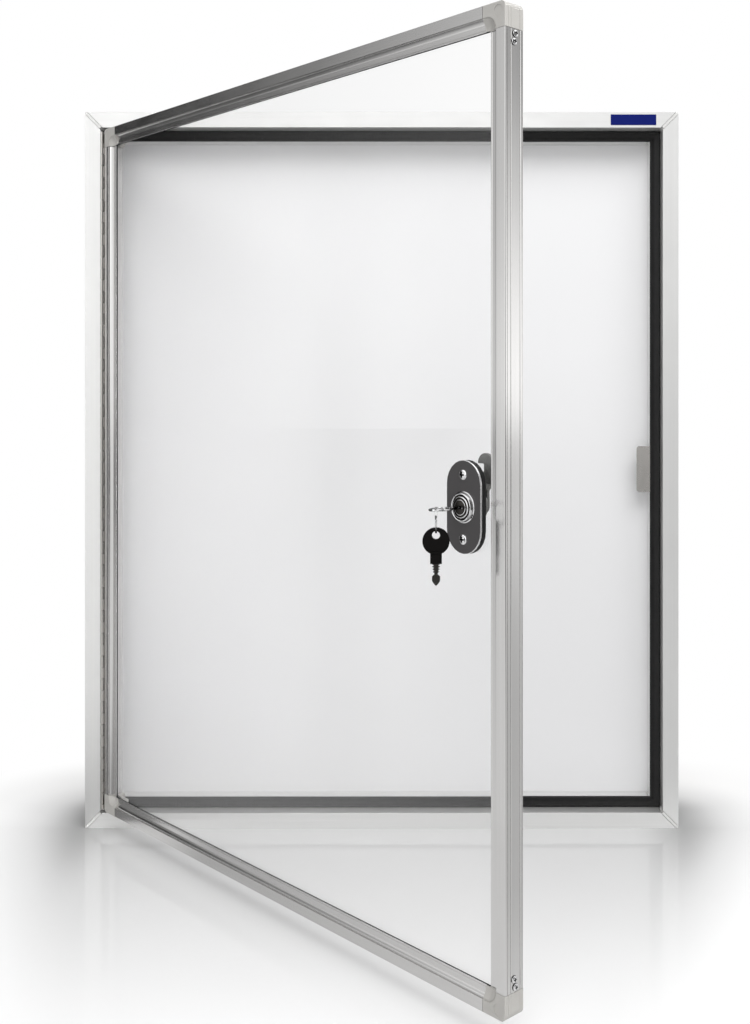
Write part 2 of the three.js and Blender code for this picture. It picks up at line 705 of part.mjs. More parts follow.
function buildKeeper(group) {
  const outerX = CASE_HALF_WIDTH - FACE_WIDTH - FIT;
  const innerX = CASE_HALF_WIDTH - INNER_EDGE - KEEPER_REACH;
  const low = MID_HEIGHT - KEEPER_HEIGHT / 2;
  const high = MID_HEIGHT + KEEPER_HEIGHT / 2;
  const outline = [
    [outerX, low],
    [outerX, high],
    ...arcPoints(innerX + KEEPER_RADIUS, high - KEEPER_RADIUS, KEEPER_RADIUS, 90, 180, 5),
    ...arcPoints(innerX + KEEPER_RADIUS, low + KEEPER_RADIUS, KEEPER_RADIUS, 180, 270, 5),
  ];
  const front = FRONT_Y + keeperFront();
  const stand = (geometry, x, z) => {
    return placed(geometry, axisX, axisZ, backward(axisY), new THREE.Vector3(x, front, z));
  };
  const plate = stand(extrude(shapeOf(outline), -KEEPER_THICKNESS, 0), 0, 0);
  const screwX = CASE_HALF_WIDTH - FACE_WIDTH - KEEPER_SCREW_INSET;
  const seat = KEEPER_SCREW_HEAD_HEIGHT + GLUE;
  const holes = keeperScrewHeights().flatMap((z) => [
    stand(bar(KEEPER_SCREW_HEAD_RADIUS + FIT / 2, -seat, OVERRUN), screwX, z),
    stand(bar(KEEPER_SCREW_RADIUS + FIT / 2, -KEEPER_THICKNESS - OVERRUN, OVERRUN, 12), screwX, z),
  ]);
  addMesh(group, "keeper", cut(plate, holes), "steel");
  keeperScrewHeights().forEach((z, i) => {
    const body = turned([
      [0, -KEEPER_SCREW_LENGTH],
      [KEEPER_SCREW_RADIUS, -KEEPER_SCREW_LENGTH],
      [KEEPER_SCREW_RADIUS, -KEEPER_SCREW_HEAD_HEIGHT],
      [KEEPER_SCREW_HEAD_RADIUS, -KEEPER_SCREW_HEAD_HEIGHT],
      [KEEPER_SCREW_HEAD_RADIUS, -GLUE],
      [0, -GLUE],
    ], 16);
    addMesh(group, `keeper_screw_${i + 1}`, stand(body, screwX, z), "steel");
  });
}

// Piano hinge: two leaves with interleaved knuckles on one pin

// A leaf in the frame of the pin: +X is the side that the leaf lies on, +Y goes back
function hingeLeaf(firstKnuckle) {
  const low = MID_HEIGHT - HINGE_LENGTH / 2;
  const high = MID_HEIGHT + HINGE_LENGTH / 2;
  const inner = KNUCKLE_RADIUS - LEAF_THICKNESS;
  const clear = KNUCKLE_RADIUS + 2 * FIT;
  const plate = boxBetween([inner, clear, low], [KNUCKLE_RADIUS, LEAF_WIDTH, high]);
  const count = Math.ceil(HINGE_LENGTH / KNUCKLE_PITCH);
  const pieces = [plate];
  for (let i = firstKnuckle; i < count; i += 2) {
    const top = high - i * KNUCKLE_PITCH - FIT / 2;
    const bottom = Math.max(high - (i + 1) * KNUCKLE_PITCH + FIT / 2, low);
    pieces.push(bar(KNUCKLE_RADIUS, bottom, top, 8));
    pieces.push(boxBetween([inner, 0, bottom], [KNUCKLE_RADIUS, clear + OVERRUN, top]));
  }
  const bore = bar(PIN_RADIUS + FIT, low - OVERRUN, high + OVERRUN, 6);
  const holes = rivetHeights(firstKnuckle * KNUCKLE_PITCH).map((z) => {
    return rivetHole(z, RIVET_DEPTH, 0, KNUCKLE_RADIUS + OVERRUN);
  });
  return cut(join(pieces), [bore, ...holes]);
}

// A rivet through a leaf, its head on the side of the pin
function hingeRivet(z) {
  const rivet = screw(
    RIVET_HEAD_RADIUS, RIVET_HEAD_HEIGHT, RIVET_RADIUS, RIVET_LENGTH,
    RIVET_RADIUS / 2, RIVET_HEAD_HEIGHT / 3, 8,
  );
  const seat = KNUCKLE_RADIUS - LEAF_THICKNESS - GLUE;
  return placed(rivet, axisY, axisZ, backward(axisX), new THREE.Vector3(seat, RIVET_DEPTH, z));
}

function buildCaseHinge(group) {
  const mirrored = (geometry) => placed(geometry, backward(axisX), axisY, axisZ, new THREE.Vector3());
  const hinge = new THREE.Group();
  hinge.position.set(PIN_X, PIN_Y, 0);
  group.add(hinge);
  addMesh(hinge, "hinge_leaf_case", mirrored(hingeLeaf(0)), "steel");
  rivetHeights(0).forEach((z, i) => {
    addMesh(hinge, `hinge_rivet_case_${i + 1}`, mirrored(hingeRivet(z)), "steel");
  });
  const half = HINGE_LENGTH / 2;
  addMesh(hinge, "hinge_pin", bar(PIN_RADIUS, MID_HEIGHT - half, MID_HEIGHT + half, 10), "steel");
}

function buildDoorHinge(door) {
  addMesh(door, "hinge_leaf_door", hingeLeaf(1), "steel");
  rivetHeights(KNUCKLE_PITCH).forEach((z, i) => {
    addMesh(door, `hinge_rivet_door_${i + 1}`, hingeRivet(z), "steel");
  });
}

// Door frame

// The hollow of the cove between two distances from the outer edge, as [inward, back]
function covePoints(start, end) {
  const points = [];
  for (let i = 0; i <= COVE_STEPS; i++) {
    const share = i / COVE_STEPS;
    const fall = (COVE_DEPTH - COVE_START_DEPTH) * Math.sin((share * Math.PI) / 2);
    points.push([start + (end - start) * share, COVE_START_DEPTH + fall]);
  }
  return points;
}

// The section of a door profile as [inward from the outer edge, back from the front face]
function doorSection() {
  const coveStart = DOOR_FLAT + SHADOW_GROOVE_WIDTH;
  const cove = covePoints(coveStart, DOOR_SIGHT);
  const sideGrooves = [...SIDE_GROOVE_SHARES].reverse().flatMap((share) => [
    [0, DOOR_THICKNESS * share + SIDE_GROOVE / 2],
    [SIDE_GROOVE, DOOR_THICKNESS * share],
    [0, DOOR_THICKNESS * share - SIDE_GROOVE / 2],
  ]);
  return [
    [0, EDGE_CHAMFER],
    [EDGE_CHAMFER, 0],
    [DOOR_FLAT, 0],
    [DOOR_FLAT, SHADOW_GROOVE_DEPTH],
    [coveStart, SHADOW_GROOVE_DEPTH],
    ...cove,
    [DOOR_SIGHT, LIP_BACK],
    [POCKET_FLOOR, LIP_BACK],
    [POCKET_FLOOR, POCKET_BACK],
    [DOOR_SIGHT, POCKET_BACK],
    [DOOR_SIGHT, POCKET_BACK + BEAD_THICKNESS],
    [DOOR_BACK_WIDTH, DOOR_THICKNESS],
    [0, DOOR_THICKNESS],
    ...sideGrooves,
  ];
}

function doorChamber() {
  return [
    [DOOR_WALL, DOOR_WALL],
    [DOOR_CHAMBER, DOOR_WALL],
    [DOOR_CHAMBER, DOOR_THICKNESS - DOOR_WALL],
    [DOOR_WALL, DOOR_THICKNESS - DOOR_WALL],
  ];
}

const doorRect = [DOOR_START, DOOR_START + DOOR_WIDTH, DOOR_BOTTOM, DOOR_BOTTOM + DOOR_HEIGHT];
const doorSides = rectSides(...doorRect);

function doorProfile(side, reach) {
  const endCut = square(reach + FIT);
  const length = profileLength(doorSection(), [doorChamber()], side.length, endCut, endCut);
  return onSide(length, side, DOOR_FACE);
}

// A moulded corner in its own frame: X along the rail, Y back, Z along the stile
function mouldedCorner() {
  const fused = mitred(-MITRE_LAP);
  const railPart = profileLength(doorSection(), [], CORNER_RAIL_REACH, fused, square(0));
  const stilePart = profileLength(doorSection(), [], CORNER_STILE_REACH, fused, square(0));
  const filler = boxBetween([EDGE_CHAMFER, 0, EDGE_CHAMFER], [DOOR_SIGHT, LIP_BACK, DOOR_SIGHT]);
  const block = join([placed(railPart, axisZ, axisY, axisX, new THREE.Vector3()), stilePart, filler]);
  const outline = [
    ...arcPoints(CORNER_RADIUS, CORNER_RADIUS, CORNER_RADIUS, 180, 270, 6),
    [CORNER_RAIL_REACH + OVERRUN, 0],
    [CORNER_RAIL_REACH + OVERRUN, CORNER_STILE_REACH + OVERRUN],
    [0, CORNER_STILE_REACH + OVERRUN],
  ];
  const rounding = extrude(shapeOf(outline), -OVERRUN, DOOR_THICKNESS + OVERRUN);
  const rounded = common(block, placed(rounding, axisX, axisZ, axisY, new THREE.Vector3()));
  const near = DOOR_WALL + FIT;
  const far = DOOR_CHAMBER - FIT;
  const deep = DOOR_THICKNESS - near;
  const railLeg = boxBetween([near, near, near], [CORNER_RAIL_REACH + CORNER_LEG_REACH, deep, far]);
  const stileLeg = boxBetween([near, near, near], [far, deep, CORNER_STILE_REACH + CORNER_LEG_REACH]);
  const mark = bar(CORNER_MARK_RADIUS, -OVERRUN, CORNER_MARK_DEPTH, 24);
  const markPlace = new THREE.Vector3(CORNER_MARK_INSET, 0, CORNER_MARK_INSET);
  return cut(join([rounded, railLeg, stileLeg]), [
    placed(mark, axisZ, axisX, axisY, markPlace),
    coveEnd(),
  ]);
}

// The hollow in which the two coves of a corner meet, a bowl round the corner of the glass
function coveEnd() {
  const radius = DOOR_SIGHT - DOOR_FLAT;
  const start = radius - SHADOW_GROOVE_WIDTH;
  const cove = covePoints(0, start).map(([inward, back]) => [start - inward, back]);
  const bowl = turned([
    [0, -OVERRUN],
    [radius, -OVERRUN],
    [radius, SHADOW_GROOVE_DEPTH],
    [start, SHADOW_GROOVE_DEPTH],
    ...cove,
  ], 32);
  return placed(bowl, axisZ, axisX, axisY, new THREE.Vector3(DOOR_SIGHT, 0, DOOR_SIGHT));
}

// The screws of one end of the free stile: distance from the door's end and from its front
function endScrews() {
  return [0, 1].map((i) => ({
    fromEnd: SCREW_FROM_END + i * SCREW_PITCH,
    depth: SCREW_DEPTH - i * SCREW_STAGGER,
  }));
}

// Places of the screws in the edge of the free stile
function edgeScrews() {
  const [, , low, high] = doorRect;
  const top = endScrews().map(({ fromEnd, depth }) => ({ z: high - fromEnd, depth }));
  const bottom = endScrews().map(({ fromEnd, depth }) => ({ z: low + fromEnd, depth }));
  return [...top, ...bottom];
}

// Puts a piece made along Z in the edge of the free stile, its Z pointing out of the edge
function onFreeEdge(geometry, { z, depth }) {
  const place = new THREE.Vector3(DOOR_START + DOOR_WIDTH, DOOR_FACE + depth, z);
  return placed(geometry, axisY, axisZ, axisX, place);
}

function buildDoorFrame(door) {
  const rivetHoles = rivetHeights(KNUCKLE_PITCH).map((z) => {
    return rivetHole(z, RIVET_DEPTH, DOOR_START - OVERRUN, DOOR_START + DOOR_WALL + OVERRUN);
  });
  const screwHoles = edgeScrews().map((place) => {
    return onFreeEdge(bar(SCREW_SHANK_RADIUS + FIT / 2, -SCREW_LENGTH - FIT, OVERRUN, 12), place);
  });
  const hingeStile = doorProfile(doorSides.left, CORNER_STILE_REACH);
  const freeStile = doorProfile(doorSides.right, CORNER_STILE_REACH);
  addMesh(door, "door_rail_top", doorProfile(doorSides.top, CORNER_RAIL_REACH), "anodised");
  addMesh(door, "door_rail_bottom", doorProfile(doorSides.bottom, CORNER_RAIL_REACH), "anodised");
  addMesh(door, "door_stile_hinge", cut(hingeStile, rivetHoles), "anodised");
  addMesh(door, "door_stile_lock", cut(freeStile, screwHoles), "anodised");
  const corner = mouldedCorner();
  for (const [place, { across, down, x, z }] of Object.entries(rectCorners(...doorRect))) {
    const origin = new THREE.Vector3(x, DOOR_FACE, z);
    const piece = placed(corner, across, axisY, down, origin);
    const drilled = place.endsWith("right") ? cut(piece, screwHoles) : piece;
    addMesh(door, `door_corner_${place}`, drilled, "corner");
  }
  edgeScrews().forEach((place, i) => {
    const body = screw(
      SCREW_HEAD_RADIUS, SCREW_HEAD_HEIGHT, SCREW_SHANK_RADIUS, SCREW_LENGTH,
      SCREW_RECESS_RADIUS, SCREW_RECESS_DEPTH, 16,
    ).translate(0, 0, GLUE);
    addMesh(door, `door_corner_screw_${i + 1}`, onFreeEdge(body, place), "chrome");
  });
}

// Glass and the rubber channel around it

// A block in the door, inset from all four edges, between two depths from the door's front face
function doorBlock(inset, front, back) {
  const [lowX, highX, lowZ, highZ] = doorRect;
  return boxBetween(
    [lowX + inset, DOOR_FACE + front, lowZ + inset],
    [highX - inset, DOOR_FACE + back, highZ - inset],
  );
}

function buildGlazing(door) {
  const place = (x, z) => new THREE.Vector3(LOCK_X + x, DOOR_FACE + GLASS_FRONT, MID_HEIGHT + z);
  const drill = (radius, z) => {
    const hole = bar(radius, -OVERRUN, GLASS_THICKNESS + OVERRUN, 24);
    return placed(hole, axisZ, axisX, axisY, place(0, z));
  };
  const glass = cut(doorBlock(GLASS_EDGE, GLASS_FRONT, GLASS_BACK), [
    drill(BARREL_RADIUS + FIT, 0),
    drill(PLATE_SCREW_RADIUS + FIT, PLATE_SCREW_SPACING / 2),
    drill(PLATE_SCREW_RADIUS + FIT, -PLATE_SCREW_SPACING / 2),
  ]);
  addMesh(door, "door_glass", glass, "glass");
  const slack = SEAL_SLACK;
  const channel = cut(doorBlock(SEAL_EDGE, SEAL_FRONT, SEAL_BACK), [
    doorBlock(DOOR_SIGHT + SEAL_SHOW, SEAL_FRONT - OVERRUN, SEAL_BACK + OVERRUN),
    doorBlock(SEAL_EDGE + SEAL_THICKNESS, GLASS_FRONT - slack, GLASS_BACK + slack),
  ]);
  addMesh(door, "glazing_seal", channel, "rubber");
}

// Lock, in its own frame: X toward the free edge, Y up, Z out of the door

function plateHoles(low, high) {
  const half = PLATE_SCREW_SPACING / 2;
  const radius = PLATE_SCREW_RADIUS + FIT / 2;
  return [
    bar(BARREL_RADIUS + FIT / 2, low - OVERRUN, high + OVERRUN, 32),
    bar(radius, low - OVERRUN, high + OVERRUN).translate(0, half, 0),
    bar(radius, low - OVERRUN, high + OVERRUN).translate(0, -half, 0),
  ];
}

function stadiumPlate(width, height, low, high) {
  return cut(extrude(shapeOf(stadiumPoints(width, height, 12)), low, high), plateHoles(low, high));
}

function buildLock(lock) {
  const pad = stadiumPlate(PLATE_WIDTH, PLATE_HEIGHT, PAD_BACK, PAD_BACK + PAD_THICKNESS);
  addMesh(lock, "lock_plate", stadiumPlate(PLATE_WIDTH, PLATE_HEIGHT, PLATE_BACK, PLATE_FRONT), "black");
  addMesh(lock, "lock_pad", pad, "rubber");
  const backPlate = stadiumPlate(BACK_PLATE_WIDTH, BACK_PLATE_HEIGHT, BACK_PLATE_BACK, BACK_PLATE_FRONT);
  addMesh(lock, "lock_back_plate", backPlate, "black");
  [1, -1].forEach((end, i) => {
    const body = screw(
      PLATE_SCREW_HEAD_RADIUS, PLATE_SCREW_HEAD_HEIGHT, PLATE_SCREW_RADIUS, PLATE_FRONT - BACK_PLATE_BACK,
      SCREW_RECESS_RADIUS, SCREW_RECESS_DEPTH, 20,
    );
    const place = body.translate(0, (end * PLATE_SCREW_SPACING) / 2, PLATE_FRONT + GLUE);
    addMesh(lock, `lock_plate_screw_${i + 1}`, place, "black");
  });
  const rimBack = PLATE_FRONT + GLUE;
  const rimFront = PLATE_FRONT + RIM_HEIGHT;
  const barrelBack = PLATE_FRONT - BARREL_LENGTH;
  const rimStep = (RIM_RADIUS - BARREL_RADIUS) / 2;
  const bore = PLUG_RADIUS + FIT;
  addMesh(lock, "lock_barrel", turned([
    [bore, barrelBack],
    [BARREL_RADIUS, barrelBack],
    [BARREL_RADIUS, rimBack],
    [RIM_RADIUS, rimBack],
    [RIM_RADIUS, rimFront - rimStep],
    [RIM_RADIUS - rimStep, rimFront],
    [bore, rimFront],
  ], 36), "chrome");
  const nutFront = BACK_PLATE_BACK - FIT;
  const nut = bar(NUT_ACROSS_FLATS / Math.sqrt(3), nutFront - NUT_THICKNESS, nutFront, 6);
  const nutHole = bar(BARREL_RADIUS + FIT / 2, nutFront - NUT_THICKNESS - OVERRUN, nutFront + OVERRUN, 32);
  addMesh(lock, "lock_nut", cut(nut, [nutHole]), "steel");
}

function buildPlug(lock) {
  const tenonBack = CAM_BACK + FIT;
  const body = bar(PLUG_RADIUS, PLUG_SHOULDER, PLUG_FRONT, 32);
  const half = TENON_SIDE / 2;
  const tenon = boxBetween([-half, -half, tenonBack], [half, half, PLUG_SHOULDER + OVERRUN]);
  const wide = KEY_WIDTH / 2 + FIT / 2;
  const thick = KEY_THICKNESS / 2 + FIT / 2;
  const keyway = boxBetween(
    [-wide, -thick, PLUG_FRONT - KEYWAY_DEPTH],
    [wide, thick, PLUG_FRONT + OVERRUN],
  );
  const screwTip = CAM_BACK - GLUE + CAM_SCREW_LENGTH;
  const screwHole = bar(CAM_SCREW_RADIUS + FIT / 2, tenonBack - OVERRUN, screwTip + FIT, 12);
  addMesh(lock, "lock_plug", cut(join([body, tenon]), [keyway, screwHole]), "black");
}

// The cam stands upright when unlocked; its hook is open away from the free edge
function buildCam(lock) {
  const left = -CAM_HEAD_LEFT;
  const right = CAM_HEAD_RIGHT;
  const round = CAM_CORNER_RADIUS;
  const outline = [
    ...arcPoints(0, 0, CAM_HUB_RADIUS, 180, 360, 12),
    [right, CAM_CRANK_START],
    ...arcPoints(right - round, CAM_REACH - round, round, 0, 90, 3),
    ...arcPoints(left + round, CAM_REACH - round, round, 90, 180, 3),
    [left, CAM_NOTCH_HIGH],
    [-CAM_NOTCH_FLOOR, CAM_NOTCH_HIGH],
    [-CAM_NOTCH_FLOOR, CAM_NOTCH_LOW],
    [left, CAM_NOTCH_LOW],
    [left, CAM_CRANK_START],
  ];
  const low = -CAM_HUB_RADIUS - OVERRUN;
  const high = CAM_REACH + OVERRUN;
  const sideProfile = [
    [low, CAM_FRONT],
    [low, CAM_BACK],
    [CAM_CRANK_START, CAM_BACK],
    [CAM_CRANK_END, CAM_BACK - CAM_CRANK],
    [high, CAM_BACK - CAM_CRANK],
    [high, CAM_FRONT - CAM_CRANK],
    [CAM_CRANK_END, CAM_FRONT - CAM_CRANK],
    [CAM_CRANK_START, CAM_FRONT],
  ];
  const wide = CAM_HUB_RADIUS + CAM_HEAD_LEFT;
  const blank = extrude(shapeOf(outline), CAM_BACK - CAM_CRANK - OVERRUN, CAM_FRONT + OVERRUN);
  const bent = placed(extrude(shapeOf(sideProfile), -wide, wide), axisY, axisZ, axisX, new THREE.Vector3());
  const half = TENON_SIDE / 2 + FIT / 2;
  const hole = boxBetween([-half, -half, CAM_BACK - OVERRUN], [half, half, CAM_FRONT + OVERRUN]);
  addMesh(lock, "lock_cam", cut(common(blank, bent), [hole]), "zinc");
  const head = screw(
    CAM_SCREW_HEAD_RADIUS, CAM_SCREW_HEAD_HEIGHT, CAM_SCREW_RADIUS, CAM_SCREW_LENGTH,
    SCREW_RECESS_RADIUS, SCREW_RECESS_DEPTH, 16,
  );
  const place = new THREE.Vector3(0, 0, CAM_BACK - GLUE);
  addMesh(lock, "cam_screw", placed(head, axisX, backward(axisY), backward(axisZ), place), "steel");
}

// Keys

// The flat outline of a blade along +Y, its cuts on the right
function bladeOutline(width, length, cutDepth) {
  const half = width / 2;
  const tip = (POINT_WIDTH_SHARE * width) / 2;
  const shoulder = length * (1 - POINT_LENGTH_SHARE);
  const last = CUT_SHARES.length - 1;
  const cuts = CUT_SHARES.map((share, i) => [half - cutDepth * share, (shoulder * i) / last]);
  return [[-half, 0], ...cuts, [tip, length], [-tip, length], [-half, shoulder]];
}

function buildKey(lock) {
  const outline = bladeOutline(KEY_WIDTH, KEY_BLADE_LENGTH, KEY_CUT_DEPTH);
  const half = KEY_THICKNESS / 2;
  const front = PLUG_FRONT + FIT;
  const blade = placed(
    extrude(shapeOf(outline), -half, half),
    axisX, backward(axisZ), axisY, new THREE.Vector3(0, 0, front),
  );
  const neckEnd = PLUG_FRONT + KEY_NECK_LENGTH + BOW_WIRE_RADIUS;
  const neckHalf = KEY_NECK_WIDTH / 2;
  const neck = boxBetween([-neckHalf, -half, front - OVERRUN], [neckHalf, half, neckEnd]);
  const bow = wireRing(
    BOW_LENGTH / 2 - BOW_WIRE_RADIUS, BOW_WIDTH / 2 - BOW_WIRE_RADIUS, BOW_WIRE_RADIUS, 32, 8,
  );
  const bowPlace = new THREE.Vector3(0, 0, BOW_CENTRE);
  const key = join([blade, neck, placed(bow, axisZ, axisX, axisY, bowPlace)]);
  addMesh(lock, "key_in_lock", key, "steel");
}

// Where the ring hangs: the middle of the bow's wire, in the frame of the lock
function hangingPoint() {
  const angle = THREE.MathUtils.degToRad(HANG_DEG);
  const along = (BOW_LENGTH / 2 - BOW_WIRE_RADIUS) * Math.cos(angle);
  const aside = (BOW_WIDTH / 2 - BOW_WIRE_RADIUS) * Math.sin(angle);
  return new THREE.Vector3(aside, 0, BOW_CENTRE + along);
}

// Ring and spare key hang below a point given in the frame of the case
function buildRingAndSpare(group, hang) {
  const drop = RING_RADIUS - RING_WIRE_RADIUS - BOW_WIRE_RADIUS - FIT;
  const ringCentre = hang.clone().addScaledVector(axisZ, -drop);
  const ring = wireRing(RING_RADIUS, RING_RADIUS, RING_WIRE_RADIUS, 28, 8);
  addMesh(group, "key_ring", placed(ring, axisY, axisZ, axisX, ringCentre), "steel");

  const wireBottom = ringCentre.z - RING_RADIUS;
  const holeDrop = SPARE_HOLE_RADIUS - RING_WIRE_RADIUS - FIT;
  const bowCentre = new THREE.Vector3(hang.x, hang.y, wireBottom - holeDrop - SPARE_HOLE_RISE);
  const half = SPARE_BOW_THICKNESS / 2;
  const disc = bar(SPARE_BOW_RADIUS, -half, half, 32);
  const neckHalf = SPARE_NECK_WIDTH / 2;
  const neck = boxBetween([-neckHalf, -SPARE_NECK_DROP, -half], [neckHalf, 0, half]);
  const hole = bar(SPARE_HOLE_RADIUS, -half - OVERRUN, half + OVERRUN, 20).translate(0, SPARE_HOLE_RISE, 0);
  const tangHalf = SPARE_TANG_WIDTH / 2;
  const tangThick = SPARE_TANG_THICKNESS / 2;
  const pocket = boxBetween(
    [-tangHalf - FIT / 2, -SPARE_NECK_DROP - OVERRUN, -tangThick - FIT / 2],
    [tangHalf + FIT / 2, -SPARE_NECK_DROP + SPARE_TANG_LENGTH + FIT, tangThick + FIT / 2],
  );
  const upright = (geometry) => placed(geometry, axisX, axisZ, backward(axisY), bowCentre);
  addMesh(group, "spare_key_bow", upright(cut(join([disc, neck]), [hole, pocket])), "plastic");

  const shoulder = -SPARE_NECK_DROP - FIT;
  const bladeLength = SPARE_TIP_DROP - SPARE_NECK_DROP - FIT;
  const outline = bladeOutline(SPARE_BLADE_WIDTH, bladeLength, SPARE_CUT_DEPTH);
  const bladeThick = SPARE_BLADE_THICKNESS / 2;
  const blade = placed(
    extrude(shapeOf(outline), -bladeThick, bladeThick),
    axisX, backward(axisY), backward(axisZ), new THREE.Vector3(0, shoulder, 0),
  );
  const tang = boxBetween(
    [-tangHalf, shoulder - OVERRUN, -tangThick],
    [tangHalf, -SPARE_NECK_DROP + SPARE_TANG_LENGTH, tangThick],
  );
  addMesh(group, "spare_key_blade", upright(join([blade, tang])), "steel");
}

// Assembly: built from the bottom of the case, then lowered so that the origin is at the top mount

const noticeBoard = new THREE.Group();
const board = new THREE.Group();
board.position.z = ORIGIN_DROP - CASE_HEIGHT;
noticeBoard.add(board);

buildFrame(board);
buildPanel(board);
buildLabel(board);
buildGaskets(board);
buildKeeper(board);
buildCaseHinge(board);

const door = new THREE.Group();
door.position.set(PIN_X, PIN_Y, 0);
door.rotation.z = THREE.MathUtils.degToRad(-DOOR_OPEN_DEG);
board.add(door);
buildDoorHinge(door);
buildDoorFrame(door);
buildGlazing(door);

const lock = new THREE.Group();
lock.position.set(LOCK_X, DOOR_FACE, MID_HEIGHT);
lock.rotation.x = Math.PI / 2;
door.add(lock);
buildLock(lock);
buildPlug(lock);
buildCam(lock);
buildKey(lock);

noticeBoard.updateMatrixWorld(true);
buildRingAndSpare(board, board.worldToLocal(lock.localToWorld(hangingPoint())));
noticeBoard.updateMatrixWorld(true);

export default noticeBoard;
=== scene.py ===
"""Lockable notice board: the finished looks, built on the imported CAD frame.

Lengths are in metres. A profile is described by its inward distance from the outer edge and by its
depth behind the front face. The door is worked out in its own frame and turned to its rest angle.
"""

import json
import math
from functools import partialmethod

import bmesh
import bpy
from mathutils import Matrix, Vector


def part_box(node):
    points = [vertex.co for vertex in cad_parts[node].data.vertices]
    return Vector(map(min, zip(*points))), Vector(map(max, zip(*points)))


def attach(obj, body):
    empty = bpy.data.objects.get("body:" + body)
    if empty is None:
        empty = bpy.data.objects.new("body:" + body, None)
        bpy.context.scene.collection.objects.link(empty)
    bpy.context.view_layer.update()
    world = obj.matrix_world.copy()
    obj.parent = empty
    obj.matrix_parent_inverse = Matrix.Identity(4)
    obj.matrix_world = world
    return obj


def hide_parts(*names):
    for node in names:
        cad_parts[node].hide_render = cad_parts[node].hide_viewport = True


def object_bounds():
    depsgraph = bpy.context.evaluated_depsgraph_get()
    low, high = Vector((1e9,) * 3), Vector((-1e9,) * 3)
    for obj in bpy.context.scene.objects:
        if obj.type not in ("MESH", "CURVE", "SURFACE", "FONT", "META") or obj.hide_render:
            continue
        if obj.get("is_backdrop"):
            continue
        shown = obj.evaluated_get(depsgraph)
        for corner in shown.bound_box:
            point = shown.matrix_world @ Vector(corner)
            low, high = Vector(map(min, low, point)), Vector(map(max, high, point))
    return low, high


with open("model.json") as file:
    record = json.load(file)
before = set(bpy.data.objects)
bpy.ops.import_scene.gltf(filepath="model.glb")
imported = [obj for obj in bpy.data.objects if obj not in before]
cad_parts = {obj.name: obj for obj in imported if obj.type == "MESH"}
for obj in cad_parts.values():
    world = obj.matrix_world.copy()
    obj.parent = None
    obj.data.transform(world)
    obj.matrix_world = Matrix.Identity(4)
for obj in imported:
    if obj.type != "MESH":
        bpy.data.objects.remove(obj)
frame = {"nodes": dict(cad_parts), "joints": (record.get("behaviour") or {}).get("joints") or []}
CAD_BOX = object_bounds()

bl_info = {
    "name": "Lockable Notice Board",
    "version": (1, 0, 0),
    "blender": (4, 5, 0),
    "location": "3D View > Sidebar > Notice Board",
    "description": "Builds a wall case with a glazed door, its hinge, lock and keys",
    "category": "Object",
}

MM = 0.001
FILL_LIGHT = 0.6
FLOOR_LIFT = 0.48
FLOOR_SHADE = 0.33
ALONG_X, ALONG_Y, ALONG_Z = (Vector(v) for v in ((1, 0, 0), (0, 1, 0), (0, 0, 1)))


def srgb(code):
    """Linear colour for a hexadecimal display colour."""
    parts = [int(code[i : i + 2], 16) / 255 for i in (0, 2, 4)]
    return tuple(c / 12.92 if c <= 0.04045 else ((c + 0.055) / 1.055) ** 2.4 for c in parts)


# ---------------- places taken from the frame


def joint(name):
    """The record's joint of that name."""
    return next(j for j in frame["joints"] if j["name"] == name)


def centre(node):
    """Middle of a CAD node's box."""
    low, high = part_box(node)
    return (low + high) / 2


def axes(x, y, z, origin=(0, 0, 0)):
    """The frame whose axes lie along three directions."""
    return Matrix.Translation(origin) @ Matrix((x, y, z)).transposed().to_4x4()


def local_box(node, matrix):
    """Lowest and highest corner of a node in another frame."""
    back = matrix.inverted()
    points = [back @ v.co for v in frame["nodes"][node].data.vertices]
    return tuple(Vector(pick(p[i] for p in points) for i in range(3)) for pick in (min, max))


CASE_LOW, CASE_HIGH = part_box("frame_bottom")[0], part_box("frame_top")[1]
CASE_LOW.x, CASE_HIGH.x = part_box("frame_left")[0].x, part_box("frame_right")[1].x
FRONT = CASE_LOW.y
HINGE = Vector(joint("door_hinge")["pos_m"])
DOOR_ANGLE = math.radians(joint("door_hinge")["range_deg"][0])

# door frame: X runs along the rails, Y goes in through the glass, Z is height above the case's foot
DOOR_TURN = Matrix.Rotation(DOOR_ANGLE, 4, "Z")
DOOR = Matrix.Translation((HINGE.x, HINGE.y, CASE_LOW.z)) @ DOOR_TURN
DOOR_ALONG = DOOR.to_3x3() @ ALONG_X
DOOR_IN = DOOR.to_3x3() @ ALONG_Y
DOOR_FACE = 1.0 * MM

# lock frame: X along the rails, Y up, Z out of the door, with its origin on the door's face
LOCK_AXIS = Vector(joint("plug_turn")["pos_m"])
LOCK_ACROSS = (LOCK_AXIS - HINGE).dot(DOOR_ALONG)
LOCK_CENTRE = HINGE + DOOR_ALONG * LOCK_ACROSS + DOOR_IN * DOOR_FACE
LOCK_CENTRE.z = LOCK_AXIS.z
LOCK = axes(DOOR_ALONG, ALONG_Z, -DOOR_IN, LOCK_CENTRE)


# ---------------- sizes and colours to change


def length(label, help_text, value):
    """A length in metres with its label, help and default."""
    return bpy.props.FloatProperty(
        name=label, description=help_text, default=value, min=0, unit="LENGTH"
    )


def colour(label, help_text, code):
    """A colour with its label, help and default."""
    look = {"subtype": "COLOR", "size": 3, "min": 0, "max": 1}
    return bpy.props.FloatVectorProperty(
        name=label, description=help_text, default=srgb(code), **look
    )


